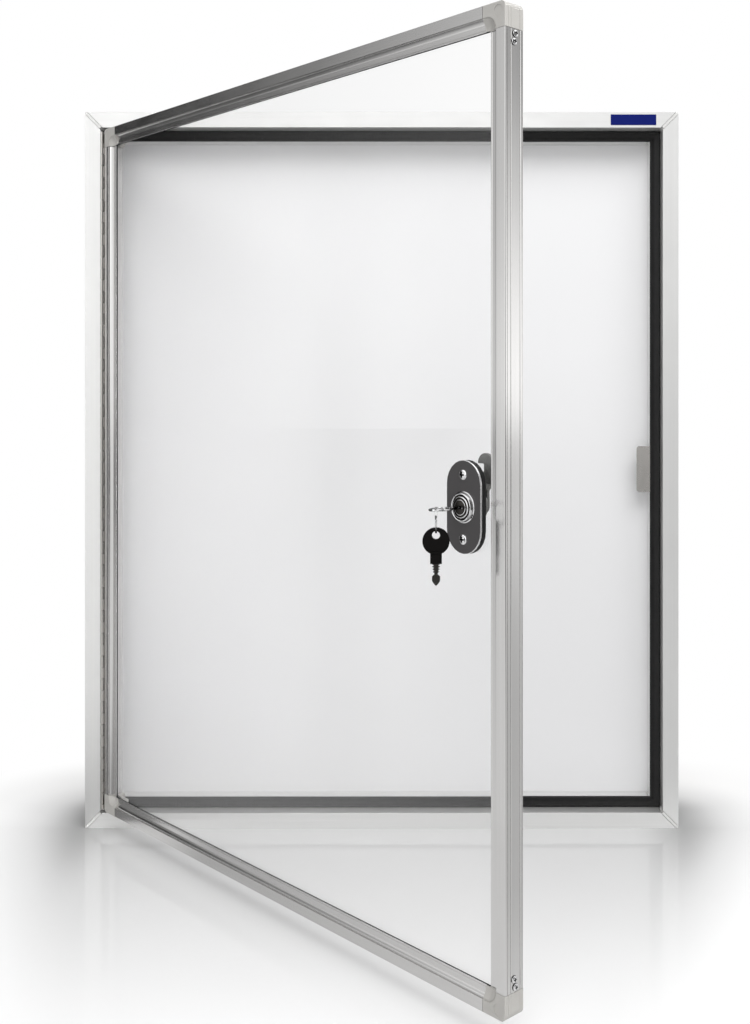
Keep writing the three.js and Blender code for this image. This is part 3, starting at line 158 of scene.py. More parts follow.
class BoardSizes(bpy.types.PropertyGroup):
    """Sizes of the pieces that Blender shapes itself."""

    profile_edge: length("Profile edge", "Rounding of the case's edges", 0.16 * MM)
    corner_edge: length("Corner edge", "Rounding of the moulded corners", 0.55 * MM)
    plate_edge: length("Plate edge", "Rounding of the lock plate's rim", 0.3 * MM)
    knuckle_pitch: length("Knuckle pitch", "Height of one hinge knuckle", 11.1 * MM)
    knuckle_radius: length("Knuckle radius", "Outer radius of a knuckle", 1.62 * MM)
    knuckle_wall: length("Knuckle wall", "Thickness of the rolled strip", 0.5 * MM)
    knuckle_gap: length("Knuckle gap", "Gap between two knuckles", 0.75 * MM)
    key_wire: length("Key wire", "Radius of the wire of the key's bow", 0.8 * MM)
    ring_wire: length("Ring wire", "Radius of the wire of the split ring", 0.34 * MM)


class BoardColours(bpy.types.PropertyGroup):
    """Colours of the finishes."""

    aluminium: colour("Aluminium", "Anodised case profiles", "E6E6E5")
    door_aluminium: colour("Door aluminium", "Anodised door profiles", "DDDCDB")
    connector: colour("Connector", "Plastic web in the mitres", "DADAD8")
    corner: colour("Corner", "Moulded corners of the door", "B9B7B3")
    panel: colour("Panel", "Enamelled steel panel", "F0F0F1")
    board: colour("Backing board", "Hardboard behind the panel", "9C7A58")
    rubber: colour("Rubber", "Gaskets and seals", "151515")
    steel: colour("Steel", "Hinge, rivets and keeper", "C8C5C1")
    label: colour("Label", "Plain label plate", "101C66")
    plate: colour("Lock plate", "Enamelled lock plate", "3C3A3B")
    chrome: colour("Chrome", "Rim, screws, key and ring", "EFEFF0")
    nickel: colour("Dark nickel", "Plug and key blade", "403E3B")
    zinc: colour("Zinc", "Cam of the lock", "7B7B79")
    bow: colour("Key bow", "Black bow of the spare key", "0D0C0B")
    # recess: a near-black finish that paints shade into the screws' recesses and a shadow round the
    # edge screws' heads
    recess: colour("Recess", "Painted shade in screw recesses and round screw heads", "191817")
    glass: colour("Glass", "Pane of the door", "FEFEFE")


# ---------------- node trees and finishes


class Nodes:
    """Adds nodes to one tree. Most functions return the new node's first output."""

    def __init__(self, tree):
        self.tree = tree

    def add(self, kind, inputs=None, **settings):
        """A new node; an input is a value, or a socket to link from."""
        node = self.tree.nodes.new(kind)
        for key, value in settings.items():
            setattr(node, key, value)
        for key, value in (inputs or {}).items():
            if isinstance(value, bpy.types.NodeSocket):
                self.tree.links.new(value, node.inputs[key])
            else:
                node.inputs[key].default_value = value
        return node

    def out(self, kind, inputs=None, **settings):
        """First output of a new node."""
        return self.add(kind, inputs, **settings).outputs[0]

    def calc(self, operation, *values):
        """Result of one arithmetic node."""
        return self.out("ShaderNodeMath", dict(enumerate(values)), operation=operation)

    plus = partialmethod(calc, "ADD")
    minus = partialmethod(calc, "SUBTRACT")
    times = partialmethod(calc, "MULTIPLY")
    most = partialmethod(calc, "MAXIMUM")

    def ramp(self, value, from_low, from_high, low, high, kind="SMOOTHSTEP"):
        """The value eased from one range to another."""
        inputs = {"Value": value, "From Min": from_low, "From Max": from_high}
        inputs |= {"To Min": low, "To Max": high}
        return self.out("ShaderNodeMapRange", inputs, interpolation_type=kind)

    def step(self, value, low, high):
        """Zero up to one number and one from the other, eased between."""
        return self.ramp(value, low, high, 0.0, 1.0)

    def spread(self, value, low, high, from_low=0.3, from_high=0.7):
        """The value's usual range stretched to low..high."""
        return self.ramp(value, from_low, from_high, low, high, "LINEAR")

    def between(self, share, first, second):
        """A number between two others."""
        inputs = {0: share, 2: first, 3: second}
        return self.out("ShaderNodeMix", inputs, data_type="FLOAT")

    def blend(self, share, first, second):
        """A mix of two shaders."""
        return self.out("ShaderNodeMixShader", {0: share, 1: first, 2: second})

    def glow(self, strength):
        """White light of its own."""
        return self.out("ShaderNodeEmission", {"Color": (1, 1, 1, 1), "Strength": strength})

    def matt(self, grey):
        """A diffuse shader."""
        return self.out("ShaderNodeBsdfDiffuse", {"Color": (grey, grey, grey, 1)})

    def split(self, vector):
        """X, Y and Z of a vector."""
        part = self.add("ShaderNodeSeparateXYZ", {0: vector})
        return [part.outputs[axis] for axis in "XYZ"]

    def point(self, scale=(1, 1, 1), turn=(0, 0, 0)):
        """Object coordinates, turned and stretched."""
        where = self.add("ShaderNodeTexCoord").outputs["Object"]
        inputs = {"Vector": where, "Rotation": turn}
        moved = self.out("ShaderNodeMapping", inputs, vector_type="TEXTURE")
        return self.out("ShaderNodeVectorMath", {0: moved, 1: scale}, operation="MULTIPLY")

    def noise(self, scale, detail=3.0, roughness=0.55, turn=(0, 0, 0)):
        """Noise over the object; its scale is one number, or one along each axis."""
        scale = scale if isinstance(scale, tuple) else (scale, scale, scale)
        inputs = {"Vector": self.point(scale, turn), "Scale": 1.0}
        inputs |= {"Detail": detail, "Roughness": roughness}
        return self.out("ShaderNodeTexNoise", inputs)


class Finish(Nodes):
    """A material whose Principled shader has plain values, and textures where they vary."""

    def __init__(self, name, base, roughness, metallic=0.0, **plain):
        self.material = bpy.data.materials.new(name)
        self.material.use_nodes = True
        super().__init__(self.material.node_tree)
        self.shader = self.tree.nodes["Principled BSDF"]
        self.base, self.roughness = base, roughness
        plain |= {"Base Color": (*base, 1), "Roughness": roughness, "Metallic": metallic}
        for key, value in plain.items():
            self.shader.inputs[key].default_value = value

    def link(self, socket, key):
        """Links a socket to an input of the shader."""
        self.tree.links.new(socket, self.shader.inputs[key])

    def textured(self, tone, relief, rough=None):
        """Varies the colour, bump (its distance is in mm) and roughness; returns the material."""
        value, *shades = tone
        dark, light = ((*(min(1, c * shade) for c in self.base), 1) for shade in shades)
        mixed = self.add("ShaderNodeMix", {0: value, 6: dark, 7: light}, data_type="RGBA")
        self.link(mixed.outputs[2], "Base Color")
        height, strength, distance = relief
        inputs = {"Height": height, "Strength": strength, "Distance": distance * MM}
        self.link(self.out("ShaderNodeBump", inputs), "Normal")
        if rough:
            value, low, high = rough
            low, high = self.roughness * low, min(1, self.roughness * high)
            self.link(self.spread(value, low, high), "Roughness")
        return self.material

    def ended(self, shader):
        """Makes another shader the material's last one, and returns the material."""
        output = next(n for n in self.tree.nodes if n.type == "OUTPUT_MATERIAL")
        self.tree.links.new(shader, output.inputs["Surface"])
        return self.material


def brushed(name, base, roughness, lengthwise, grain=1.0, metallic=1.0):
    """Anodised aluminium drawn along one direction: fine lines, faint bands and soft marks."""
    look = Finish(name, base, roughness, metallic)
    turn = lengthwise.to_track_quat("X", "Z").to_euler()
    lines = look.noise((6, 2600, 2600), 4.0, 0.6, turn)
    bands = look.noise((2.5, 320, 320), 2.0, turn=turn)
    marks = look.noise((30, 90, 90), 5.0, 0.65, turn)
    mixed = look.calc("MULTIPLY_ADD", bands, 0.45, look.times(lines, 0.55))
    tone = (look.spread(mixed, 0, 1), 0.955, 1.03)
    return look.textured(tone, (lines, 0.12 * grain, 0.02), (marks, 0.88, 1.15))


def moulded(name, base, roughness, fine=1.0, shine=0.45):
    """Moulded plastic: a fine eroded grain and cloudy tone."""
    look = Finish(name, base, roughness, **{"Specular IOR Level": shine})
    cloud, grain = look.noise(60), look.noise(2200)
    tone = (look.spread(cloud, 0, 1), 0.96, 1.03)
    return look.textured(tone, (grain, 0.10 * fine, 0.05), (grain, 0.88, 1.15))


def enamelled(name, base, roughness, coat=0.25, ripple=0.25):
    """Baked enamel on sheet: faint orange peel under a clear coat."""
    coats = {"Coat Weight": coat, "Coat Roughness": 0.12}
    look = Finish(name, base, roughness, **coats)
    peel, cloud = look.noise(420, 2.0), look.noise(4)
    tone = (look.spread(cloud, 0, 1), 0.985, 1.01)
    return look.textured(tone, (peel, ripple, 0.02), (peel, 0.92, 1.1))


def rubbery(name, base, roughness):
    """Black rubber with dust in its pores."""
    look = Finish(name, base, roughness, **{"Specular IOR Level": 0.35})
    dust, pores = look.noise(300, 5.0, 0.7), look.noise(1800, 2.0)
    tone = (look.spread(dust, 0, 1), 0.75, 1.5)
    return look.textured(tone, (pores, 0.2, 0.08), (pores, 0.85, 1.15))


def plated(name, base, roughness):
    """Bright plating with faint haze and hairline marks."""
    look = Finish(name, base, roughness, 1.0)
    haze, hair = look.noise(160, 4.0), look.noise((900, 900, 5200), 2.0)
    tone = (look.spread(haze, 0, 1), 0.93, 1.0)
    return look.textured(tone, (hair, 0.05, 0.01), (haze, 0.6, 1.6))


def drawn_wire(name, base, roughness):
    """Plated wire with a painted shade that darkens it towards its outline, and blotches where it
    was bent.
    """
    look = Finish(name, base, roughness, 1.0)
    facing = look.add("ShaderNodeLayerWeight", {"Blend": 0.5}).outputs["Facing"]
    # painted shade: the colour falls to a tenth as the wire turns away from the eye
    rim = look.ramp(facing, 0.4, 0.72, 1.0, 0.1)
    blotch = look.spread(look.noise(330, 1.5), 0.12, 1.0, 0.44, 0.52)
    return look.textured((look.times(rim, blotch), 0.03, 1.0), (look.noise(900, 2.0), 0.08, 0.01))


def cast(name, base, roughness, metallic=0.9):
    """Dull cast or pressed metal: mottled, with a sandy skin."""
    look = Finish(name, base, roughness, metallic)
    mottle, skin = look.noise(420, 5.0, 0.7), look.noise(1900, 3.0, 0.6)
    tone = (look.spread(mottle, 0, 1), 0.72, 1.25)
    return look.textured(tone, (skin, 0.35, 0.06), (mottle, 0.8, 1.25))


def hardboard(name, base, roughness):
    """Pressed fibre board with short fibres."""
    look = Finish(name, base, roughness)
    fibres, cloud = look.noise((500, 500, 900), 6.0, 0.75), look.noise(14)
    tone = (look.spread(look.times(fibres, cloud), 0, 1, 0.12, 0.4), 0.62, 1.2)
    return look.textured(tone, (fibres, 0.3, 0.15))


def glazed(name, base):
    """Clear float glass that lets light through to the panel, with a pale haze at its foot that is
    dust and painted reflection together.
    """
    look = Finish(name, base, 0.0, **{"Transmission Weight": 1.0, "IOR": 1.4})
    look.link(look.spread(look.noise(9, 4.0), 0.0, 0.03), "Roughness")
    path = look.add("ShaderNodeLightPath").outputs
    unseen = look.most(path["Is Shadow Ray"], path["Is Diffuse Ray"])
    clear = look.out("ShaderNodeBsdfTransparent", {"Color": (0.99, 0.99, 0.99, 1)})
    pane = look.blend(unseen, look.shader.outputs[0], clear)
    # dust and painted reflection: a white veil mixed into the pane, strongest at its foot
    foot = CASE_LOW.z + 65 * MM
    haze = look.ramp(look.split(look.point())[2], foot, foot + 120 * MM, 0.06, 0.0)
    return look.ended(look.blend(haze, pane, look.matt(0.9)))


# each finish: what makes it, the user's colour and the rest of its values
FINISHES = {
    "case_rail": (brushed, "aluminium", 0.36, ALONG_X, 1.0, 0.72),
    "case_upright": (brushed, "aluminium", 0.36, ALONG_Z, 1.0, 0.72),
    "door_rail": (brushed, "door_aluminium", 0.2, DOOR_ALONG),
    "door_upright": (brushed, "door_aluminium", 0.14, ALONG_Z),
    "connector": (moulded, "connector", 0.45),
    "corner": (moulded, "corner", 0.32),
    "panel": (enamelled, "panel", 0.45, 0.1, 0.008),
    "board": (hardboard, "board", 0.7),
    "rubber": (rubbery, "rubber", 0.55),
    "steel": (brushed, "steel", 0.22, ALONG_Z, 0.6),
    "label": (moulded, "label", 0.5, 0.2, 0.1),
    "plate": (enamelled, "plate", 0.38, 0.15),
    "chrome": (plated, "chrome", 0.07),
    "nickel": (plated, "nickel", 0.2),
    "wire": (drawn_wire, "chrome", 0.06),
    # painted shade: the near-black finish of the screws' recesses and of the shadow gap round the
    # edge screws' heads
    "recess": (plated, "recess", 0.4),
    "zinc": (cast, "zinc", 0.42),
    "bright_edge": (plated, "chrome", 0.16),
    "bow": (moulded, "bow", 0.32, 1.0, 0.06),
    "glass": (glazed, "glass"),
}


def finish(name):
    """The finish of that name, made once."""
    made = bpy.data.materials.get("finish_" + name)
    if made:
        return made
    maker, tint, *values = FINISHES[name]
    return maker("finish_" + name, getattr(bpy.context.scene.board_colours, tint), *values)


# ---------------- shaping


def in_scene(obj):
    """Links a new object to the scene."""
    bpy.context.scene.collection.objects.link(obj)
    return obj


def shaded(obj, angle=35):
    """Smooth shading with sharp edges above an angle."""
    obj.data.shade_smooth()
    obj.data.set_sharp_from_angle(angle=math.radians(angle))
    return obj


def dressed(obj, material, slot_name, body, *nodes):
    """Gives a piece its finish and body, and hides the CAD nodes it stands for; its slot name is
    not used.
    """
    obj.data.materials.clear()
    obj.data.materials.append(finish(material))
    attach(obj, body)
    if nodes:
        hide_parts(*nodes)
    return obj


def painted(obj, material, flags):
    """Gives the flagged faces a second finish."""
    obj.data.materials.append(finish(material))
    obj.data.polygons.foreach_set("material_index", flags)
    obj.data.update()


def kept(material, *nodes):
    """CAD nodes that stay as they are, with a better finish."""
    for node in nodes:
        frame["nodes"][node].material_slots[0].material = finish(material)


def scrapped(*objects):
    """Removes helper objects."""
    for obj in objects:
        mesh = obj.data
        bpy.data.objects.remove(obj)
        bpy.data.meshes.remove(mesh)


def mesh_from(name, points, edges=(), faces=()):
    """An object from points, edges and faces."""
    mesh = bpy.data.meshes.new(name)
    mesh.from_pydata([tuple(p) for p in points], list(edges), list(faces))
    return in_scene(bpy.data.objects.new(name, mesh))


def piece_from(name, work):
    """An object from a bmesh, which is freed."""
    mesh = bpy.data.meshes.new(name)
    work.to_mesh(mesh)
    work.free()
    return in_scene(bpy.data.objects.new(name, mesh))


def solid_from(name, work):
    """An object from a closed bmesh, with its faces turned outwards."""
    bmesh.ops.recalc_face_normals(work, faces=work.faces)
    return piece_from(name, work)


def reworked(obj, *changes):
    """Runs changes on an object's mesh."""
    work = bmesh.new()
    work.from_mesh(obj.data)
    for change in changes:
        change(work)
    work.to_mesh(obj.data)
    work.free()
    return obj


def outward(obj):
    """Turns all faces of a closed mesh outwards."""
    return reworked(obj, lambda work: bmesh.ops.recalc_face_normals(work, faces=work.faces))


def joined(obj, *others):
    """Adds the other meshes to the first one."""
    reworked(obj, *(lambda work, o=other: work.from_mesh(o.data) for other in others))
    scrapped(*others)
    return obj


def placed(obj, matrix):
    """Moves the mesh, and leaves the object at the origin."""
    obj.data.transform(matrix)
    obj.data.update()
    return obj


def copied(node, name):
    """A merged copy of a CAD node with its flat faces whole."""
    work = bmesh.new()
    work.from_mesh(frame["nodes"][node].data)
    bmesh.ops.remove_doubles(work, verts=work.verts, dist=2e-6)
    bmesh.ops.dissolve_limit(
        work, angle_limit=math.radians(0.6), verts=work.verts, edges=work.edges
    )
    return piece_from(name, work)


def evened(obj):
    """Keeps wide flat faces flat beside rounded edges."""
    even = obj.modifiers.new("Even shading", "WEIGHTED_NORMAL")
    even.keep_sharp = True
    return obj


def softened(obj, width, segments=2, angle=28):
    """Rounds every edge sharper than the angle."""
    obj.data.shade_smooth()
    edge = obj.modifiers.new("Rounded edges", "BEVEL")
    edge.width = width
    edge.segments = segments
    edge.limit_method = "ANGLE"
    edge.angle_limit = math.radians(angle)
    edge.miter_outer = "MITER_ARC"
    return evened(obj)


def soft_copy(node, width, material, slot_name, body, segments=2):
    """A CAD node's copy with rounded edges and its finish."""
    obj = softened(copied(node, node + "_shape"), width, segments)
    return dressed(obj, material, slot_name, body, node)


def applied(obj):
    """Makes what an object's modifiers give its plain mesh."""
    bpy.context.view_layer.update()
    graph = bpy.context.evaluated_depsgraph_get()
    mesh = bpy.data.meshes.new_from_object(obj.evaluated_get(graph))
    mesh.name = obj.name
    obj.modifiers.clear()
    old = obj.data
    obj.data = mesh
    bpy.data.meshes.remove(old)
    return obj


def combined(obj, other, operation="DIFFERENCE"):
    """Cuts another closed mesh out of one, or unites them."""
    change = obj.modifiers.new("Combined", "BOOLEAN")
    change.object = other
    change.operation = operation
    change.solver = "EXACT"
    applied(obj)
    scrapped(other)
    return obj


def in_mm(points, side=1):
    """Points given in millimetres; side is -1 for their mirror image."""
    return [(side * x * MM, y * MM) for x, y in points]


def rectangle(x, y):
    """Outline of a rectangle from half its sides."""
    return [(-x, -y), (x, -y), (x, y), (-x, y)]


def arc(radius, first, last, steps, x=0, y=0):
    """Points on an arc between two angles in degrees."""
    turns = [math.radians(first + (last - first) * i / steps) for i in range(steps + 1)]
    return [(x + radius * math.cos(t), y + radius * math.sin(t)) for t in turns]


def turned(name, outline, steps=64, ring=True):
    """A ring turned about Z from (radius, height) points, or a solid whose ends lie on the axis."""
    work = bmesh.new()
    rings = []
    for radius, height in outline:
        turns = [math.tau * i / steps for i in range(steps if radius > 0 else 1)]
        points = [(radius * math.cos(t), radius * math.sin(t), height) for t in turns]
        rings.append([work.verts.new(p) for p in points])
    for a, b in zip(rings, rings[1:] + rings[: int(ring)]):
        for i in range(steps):
            j = (i + 1) % steps
            corners = [a[i % len(a)], a[j % len(a)], b[j % len(b)], b[i % len(b)]]
            unique = list(dict.fromkeys(corners))
            if len(unique) > 2:
                work.faces.new(unique)
    return solid_from(name, work)


def prism(name, outline, low, high):
    """A closed prism of an (x, y) outline from one height to another."""
    work = bmesh.new()
    feet, heads = ([work.verts.new((x, y, z)) for x, y in outline] for z in (low, high))
    for i in range(len(outline)):
        j = (i + 1) % len(outline)
        work.faces.new((feet[i], feet[j], heads[j], heads[i]))
    work.faces.new(feet[::-1])
    work.faces.new(heads)
    return solid_from(name, work)


# ---------------- geometry node trees


def new_tree(name, **sockets):
    """Nodes of a geometry tree with named inputs, and the outputs of its group input."""
    tree = bpy.data.node_groups.new(name, "GeometryNodeTree")
    rows = [("Geometry", "INPUT", "Geometry")]
    rows += [(label, "INPUT", kind) for label, kind in sockets.items()]
    rows += [("Geometry", "OUTPUT", "Geometry")]
    for label, way, kind in rows:
        tree.interface.new_socket(name=label, in_out=way, socket_type="NodeSocket" + kind)
    nodes = Nodes(tree)
    return nodes, nodes.add("NodeGroupInput").outputs


def close_tree(nodes, start, geometry):
    """Ends a tree in Realize Instances and Set Material."""
    real = nodes.out("GeometryNodeRealizeInstances", {"Geometry": geometry})
    inputs = {"Geometry": real, "Material": start["Material"]}
    nodes.add("NodeGroupOutput", {"Geometry": nodes.out("GeometryNodeSetMaterial", inputs)})
    return nodes.tree


def both(nodes, *geometries):
    """All geometries as one."""
    join = nodes.add("GeometryNodeJoinGeometry")
    for geometry in geometries:
        nodes.tree.links.new(geometry, join.inputs[0])
    return join.outputs[0]


def copies(nodes, start, points, **more):
    """Copies of the tree's piece on points."""
    info = nodes.add(
        "GeometryNodeObjectInfo", {"Object": start["Piece"]}, transform_space="ORIGINAL"
    )
    inputs = {"Points": points, "Instance": info.outputs["Geometry"], **more}
    return nodes.out("GeometryNodeInstanceOnPoints", inputs)


def repeat_tree(name):
    """Copies one object onto each point, turned alike."""
    nodes, start = new_tree(name, Piece="Object", Turn="Vector", Material="Material")
    placed_copies = copies(nodes, start, start["Geometry"], Rotation=start["Turn"])
    return close_tree(nodes, start, placed_copies)


def row_tree(name):
    """Copies one object along a straight row."""
    sockets = {"Piece": "Object", "Count": "Int", "Step": "Vector", "Start": "Vector"}
    nodes, start = new_tree(name, **sockets, Material="Material")
    inputs = {"Count": "Count", "Start Location": "Start", "Offset": "Step"}
    inputs = {key: start[label] for key, label in inputs.items()}
    row = copies(nodes, start, nodes.out("GeometryNodeMeshLine", inputs))
    return close_tree(nodes, start, both(nodes, start["Geometry"], row))


def wire_tree(name):
    """Round wire along the edges of a mesh."""
    nodes, start = new_tree(name, Radius="Float", Material="Material")
    path = nodes.out("GeometryNodeMeshToCurve", {"Mesh": start["Geometry"]})
    inputs = {"Resolution": 12, "Radius": start["Radius"]}
    ring = nodes.out("GeometryNodeCurvePrimitiveCircle", inputs)
    inputs = {"Curve": path, "Profile Curve": ring, "Fill Caps": True}
    wire = nodes.out("GeometryNodeCurveToMesh", inputs)
    inputs = {"Geometry": wire, "Shade Smooth": True}
    return close_tree(nodes, start, nodes.out("GeometryNodeSetShadeSmooth", inputs))


def strip_tree(name):
    """A length of strip; a mitre sets each end point in by its distance from the edge."""
    nodes, start = new_tree(name, Length="Float", Mitre="Float", Material="Material")
    section, run = start["Geometry"], start["Length"]
    inputs = {"Mesh": section, "Individual": False}
    inputs["Offset"] = nodes.out("ShaderNodeCombineXYZ", {"X": run})
    drawn = nodes.out("GeometryNodeExtrudeMesh", inputs, mode="FACES")
    foot = nodes.out("GeometryNodeFlipFaces", {"Mesh": section})
    inputs = {"Geometry": both(nodes, foot, drawn), "Distance": 0.01 * MM}
    closed = nodes.out("GeometryNodeMergeByDistance", inputs)
    x, y, _ = nodes.split(nodes.out("GeometryNodeInputPosition"))
    far = nodes.calc("GREATER_THAN", x, nodes.times(run, 0.5))
    sign = nodes.calc("MULTIPLY_ADD", far, -2.0, 1.0)
    inset = nodes.times(nodes.times(sign, y), start["Mitre"])
    shift = nodes.out("ShaderNodeCombineXYZ", {"X": inset})
    inputs = {"Geometry": closed, "Offset": shift}
    return close_tree(nodes, start, nodes.out("GeometryNodeSetPosition", inputs))


TREE_MAKERS = {
    "Repeated piece": repeat_tree,
    "Row of knuckles": row_tree,
    "Bent wire": wire_tree,
    "Strip": strip_tree,
}


def grown(obj, tree_name, **values):
    """Runs a tree, which is made once, on an object and leaves its result as a plain mesh."""
    tree = bpy.data.node_groups.get(tree_name) or TREE_MAKERS[tree_name](tree_name)
    modifier = obj.modifiers.new(tree.name, "NODES")
    modifier.node_group = tree
    for item in tree.interface.items_tree:
        if item.in_out == "INPUT" and item.name in values:
            modifier[item.identifier] = values[item.name]
    return applied(obj)


def strip_along(name, section, sides, run, mitre, material):
    """A strip of a section of (inward, back) points; sides are its origin, run, inward and back."""
    origin, *ways = sides
    points = [(0, a, b) for a, b in in_mm(section)]
    obj = mesh_from(name, points, faces=[tuple(range(len(section)))])
    grown(obj, "Strip", Length=run, Mitre=mitre, Material=finish(material))
    return outward(placed(obj, axes(*ways, origin)))


def frame_sides(low, high, matrix):
    """Origin, run, inward and back of the four sides of a frame that lies in its own XZ plane."""
    turn = matrix.to_3x3()
    x, y, z = (turn @ way for way in (ALONG_X, ALONG_Y, ALONG_Z))
    first, last = matrix @ low, matrix @ high
    return {
        "bottom": (first, x, z, y),
        "left": (first, z, x, y),
        "top": (last, -x, -z, y),
        "right": (last, -z, -x, y),
    }


def mitred_sides(name, section, low, high, matrix, material):
    """Four mitred strips round a frame, each with its side."""
    for side, lay in frame_sides(low, high, matrix).items():
        run = high.x - low.x if side in ("top", "bottom") else high.z - low.z
        yield side, strip_along(name.format(side), section, lay, run, 1.0, material)


def wire_along(name, points, radius, material, closed=True):
    """A bent wire through the points."""
    count = len(points)
    edges = [(i, (i + 1) % count) for i in range(count if closed else count - 1)]
    obj = mesh_from(name, points, edges)
    return grown(obj, "Bent wire", Radius=radius, Material=finish(material))


def repeated(name, single, places, turn, material):
    """One mesh of copies of a single piece at several places; the single piece goes."""
    holder = mesh_from(name, places)
    grown(holder, "Repeated piece", Piece=single, Turn=turn, Material=finish(material))
    scrapped(single)
    return holder


# ---------------- operators


class BoardOperator:
    """What all operators of the board share."""

    bl_options = {"REGISTER", "UNDO"}

    def execute(self, context):
        """Builds the piece from the scene's sizes."""
        self.build(context.scene.board_sizes)
        return {"FINISHED"}


CASE_SIDES = ("left", "right", "top", "bottom")
CORNER_SIDES = ("top_left", "top_right", "bottom_left", "bottom_right")


class BOARD_OT_case(BoardOperator, bpy.types.Operator):
    """Four mitred profiles and the connectors in their corners"""

    bl_idname = "board.case"
    bl_label = "Case Profiles"

    def build(self, sizes):
        for side in CASE_SIDES:
            grain = "case_rail" if side in ("top", "bottom") else "case_upright"
            soft_copy("frame_" + side, sizes.profile_edge, grain, "frame_aluminium", "case")
        kept("connector", *("frame_corner_" + corner for corner in CORNER_SIDES))


class BOARD_OT_panel(BoardOperator, bpy.types.Operator):
    """White panel, the board behind it and the plain label plate"""

    bl_idname = "board.panel"
    bl_label = "Panel and Label"

    def build(self, sizes):
        kept("panel", "back_panel")
        kept("board", "backing_board")
        soft_copy("label_plate", 0.15 * MM, "label", "label_aluminium", "case")


# section of the gasket: inward distance and depth behind the front face, in millimetres
GASKET_SECTION = (
    (15.5, 17.6), (15.5, 15.7), (15.8, 15.25), (16.6, 15.1), (17.6, 15.2), (18.3, 15.7),
    (18.9, 15.95), (21.9, 15.95), (22.5, 15.7), (23.2, 15.2), (24.4, 15.1), (25.2, 15.25),
    (25.5, 15.7), (25.5, 17.6),
)


class BOARD_OT_gaskets(BoardOperator, bpy.types.Operator):
    """Ribbed rubber gaskets on the ledge of the case, mitred at the corners"""

    bl_idname = "board.gaskets"
    bl_label = "Gaskets"

    def build(self, sizes):
        far = Vector((CASE_HIGH.x, CASE_LOW.y, CASE_HIGH.z))
        lay = (GASKET_SECTION, CASE_LOW, far, Matrix.Identity(4), "rubber")
        for side, strip in mitred_sides("gasket_{}_shape", *lay):
            dressed(shaded(strip, 50), "rubber", "rubber", "case", "gasket_" + side)


class BOARD_OT_keeper(BoardOperator, bpy.types.Operator):
    """Keeper plate with its screws"""

    bl_idname = "board.keeper"
    bl_label = "Keeper"

    def build(self, sizes):
        soft_copy("keeper", 0.2 * MM, "steel", "steel", "case")
        kept("chrome", "keeper_screw_1", "keeper_screw_2")


def knuckle_section(radius, wall, strap, side):
    """Outline of a rolled knuckle with its strap, which leaves on one side towards the back."""
    inner = radius - wall
    outer, back = arc(radius, 0, -300, 20), arc(inner, -300, 0, 20)
    outline = [(radius, strap), *outer, *back, (inner, strap)]
    return [(side * x, y) for x, y in outline]


# length of a knuckle's strap; section of a hinge leaf's plate, in millimetres from the pin
KNUCKLE_STRAP = 6.2 * MM
LEAF_SECTION = ((1.25, 6.0), (2.15, 6.0), (2.15, 12.45), (1.25, 12.45))


class BOARD_OT_hinge(BoardOperator, bpy.types.Operator):
    """Piano hinge: two leaves with rolled knuckles, the pin and the rivets"""

    bl_idname = "board.hinge"
    bl_label = "Piano Hinge"

    def build(self, sizes):
        here = Matrix.Translation((HINGE.x, HINGE.y, 0))
        self.leaf(sizes, "case", -1, 0, here)
        self.rivets("case")
        self.leaf(sizes, "door", 1, 1, here @ DOOR_TURN)
        self.rivets("door")
        kept("steel", "hinge_pin")

    def leaf(self, sizes, body, side, first, place):
        """A leaf on one side of the pin, with every other knuckle from the first or second one."""
        pitch, gap = sizes.knuckle_pitch, sizes.knuckle_gap
        low, high = (v.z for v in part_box("hinge_leaf_case"))
        count = math.ceil((high - low) / pitch)
        node = "hinge_leaf_" + body
        section = knuckle_section(sizes.knuckle_radius, sizes.knuckle_wall, KNUCKLE_STRAP, side)
        leaf = prism(node + "_shape", in_mm(LEAF_SECTION, side), low, high)
        whole = [i for i in range(first, count, 2) if high - (i + 1) * pitch >= low]
        if (count - 1 - first) % 2 == 0 and count - 1 not in whole:
            last = high - (count - 1) * pitch
            leaf = joined(leaf, prism("last", section, low, last - gap / 2))
        single = prism("single", section, gap / 2 - pitch, -gap / 2)
        row = {"Step": (0, 0, -2 * pitch), "Start": (0, 0, high - first * pitch)}
        row |= {"Piece": single, "Count": len(whole), "Material": finish("steel")}
        grown(leaf, "Row of knuckles", **row)
        scrapped(single)
        placed(leaf, place)
        dressed(shaded(leaf, 40), "steel", "steel", body, node)

    def rivets(self, body):
        """Copies of one rounded rivet at the four places."""
        nodes = [f"hinge_rivet_{body}_{number}" for number in (1, 2, 3, 4)]
        places = [centre(node) for node in nodes]
        single = placed(copied(nodes[0], "single"), Matrix.Translation(-places[0]))
        name = f"hinge_rivets_{body}"
        rivets = repeated(name, shaded(single, 40), places, (0, 0, 0), "steel")
        dressed(rivets, "steel", "steel", body, *nodes)


def groove(depth, size, deep=0.8):
    """A fine, deep groove in the outer side of a profile, from back to front."""
    return [(0, depth + size), (deep, depth), (0, depth - size)]


def cove_arc(start, end, steep, flat, steps):
    """A hollow from one (inward, back) point inwards, steep at first and nearly flat at the end."""
    first, last = math.radians(steep), math.radians(flat)
    radius = (end - start[0]) / (math.sin(first) - math.sin(last))
    points = []
    for i in range(steps + 1):
        turn = first + (last - first) * i / steps
        across = radius * (math.sin(first) - math.sin(turn))
        points.append((start[0] + across, start[1] + radius * (math.cos(turn) - math.cos(first))))
    return points


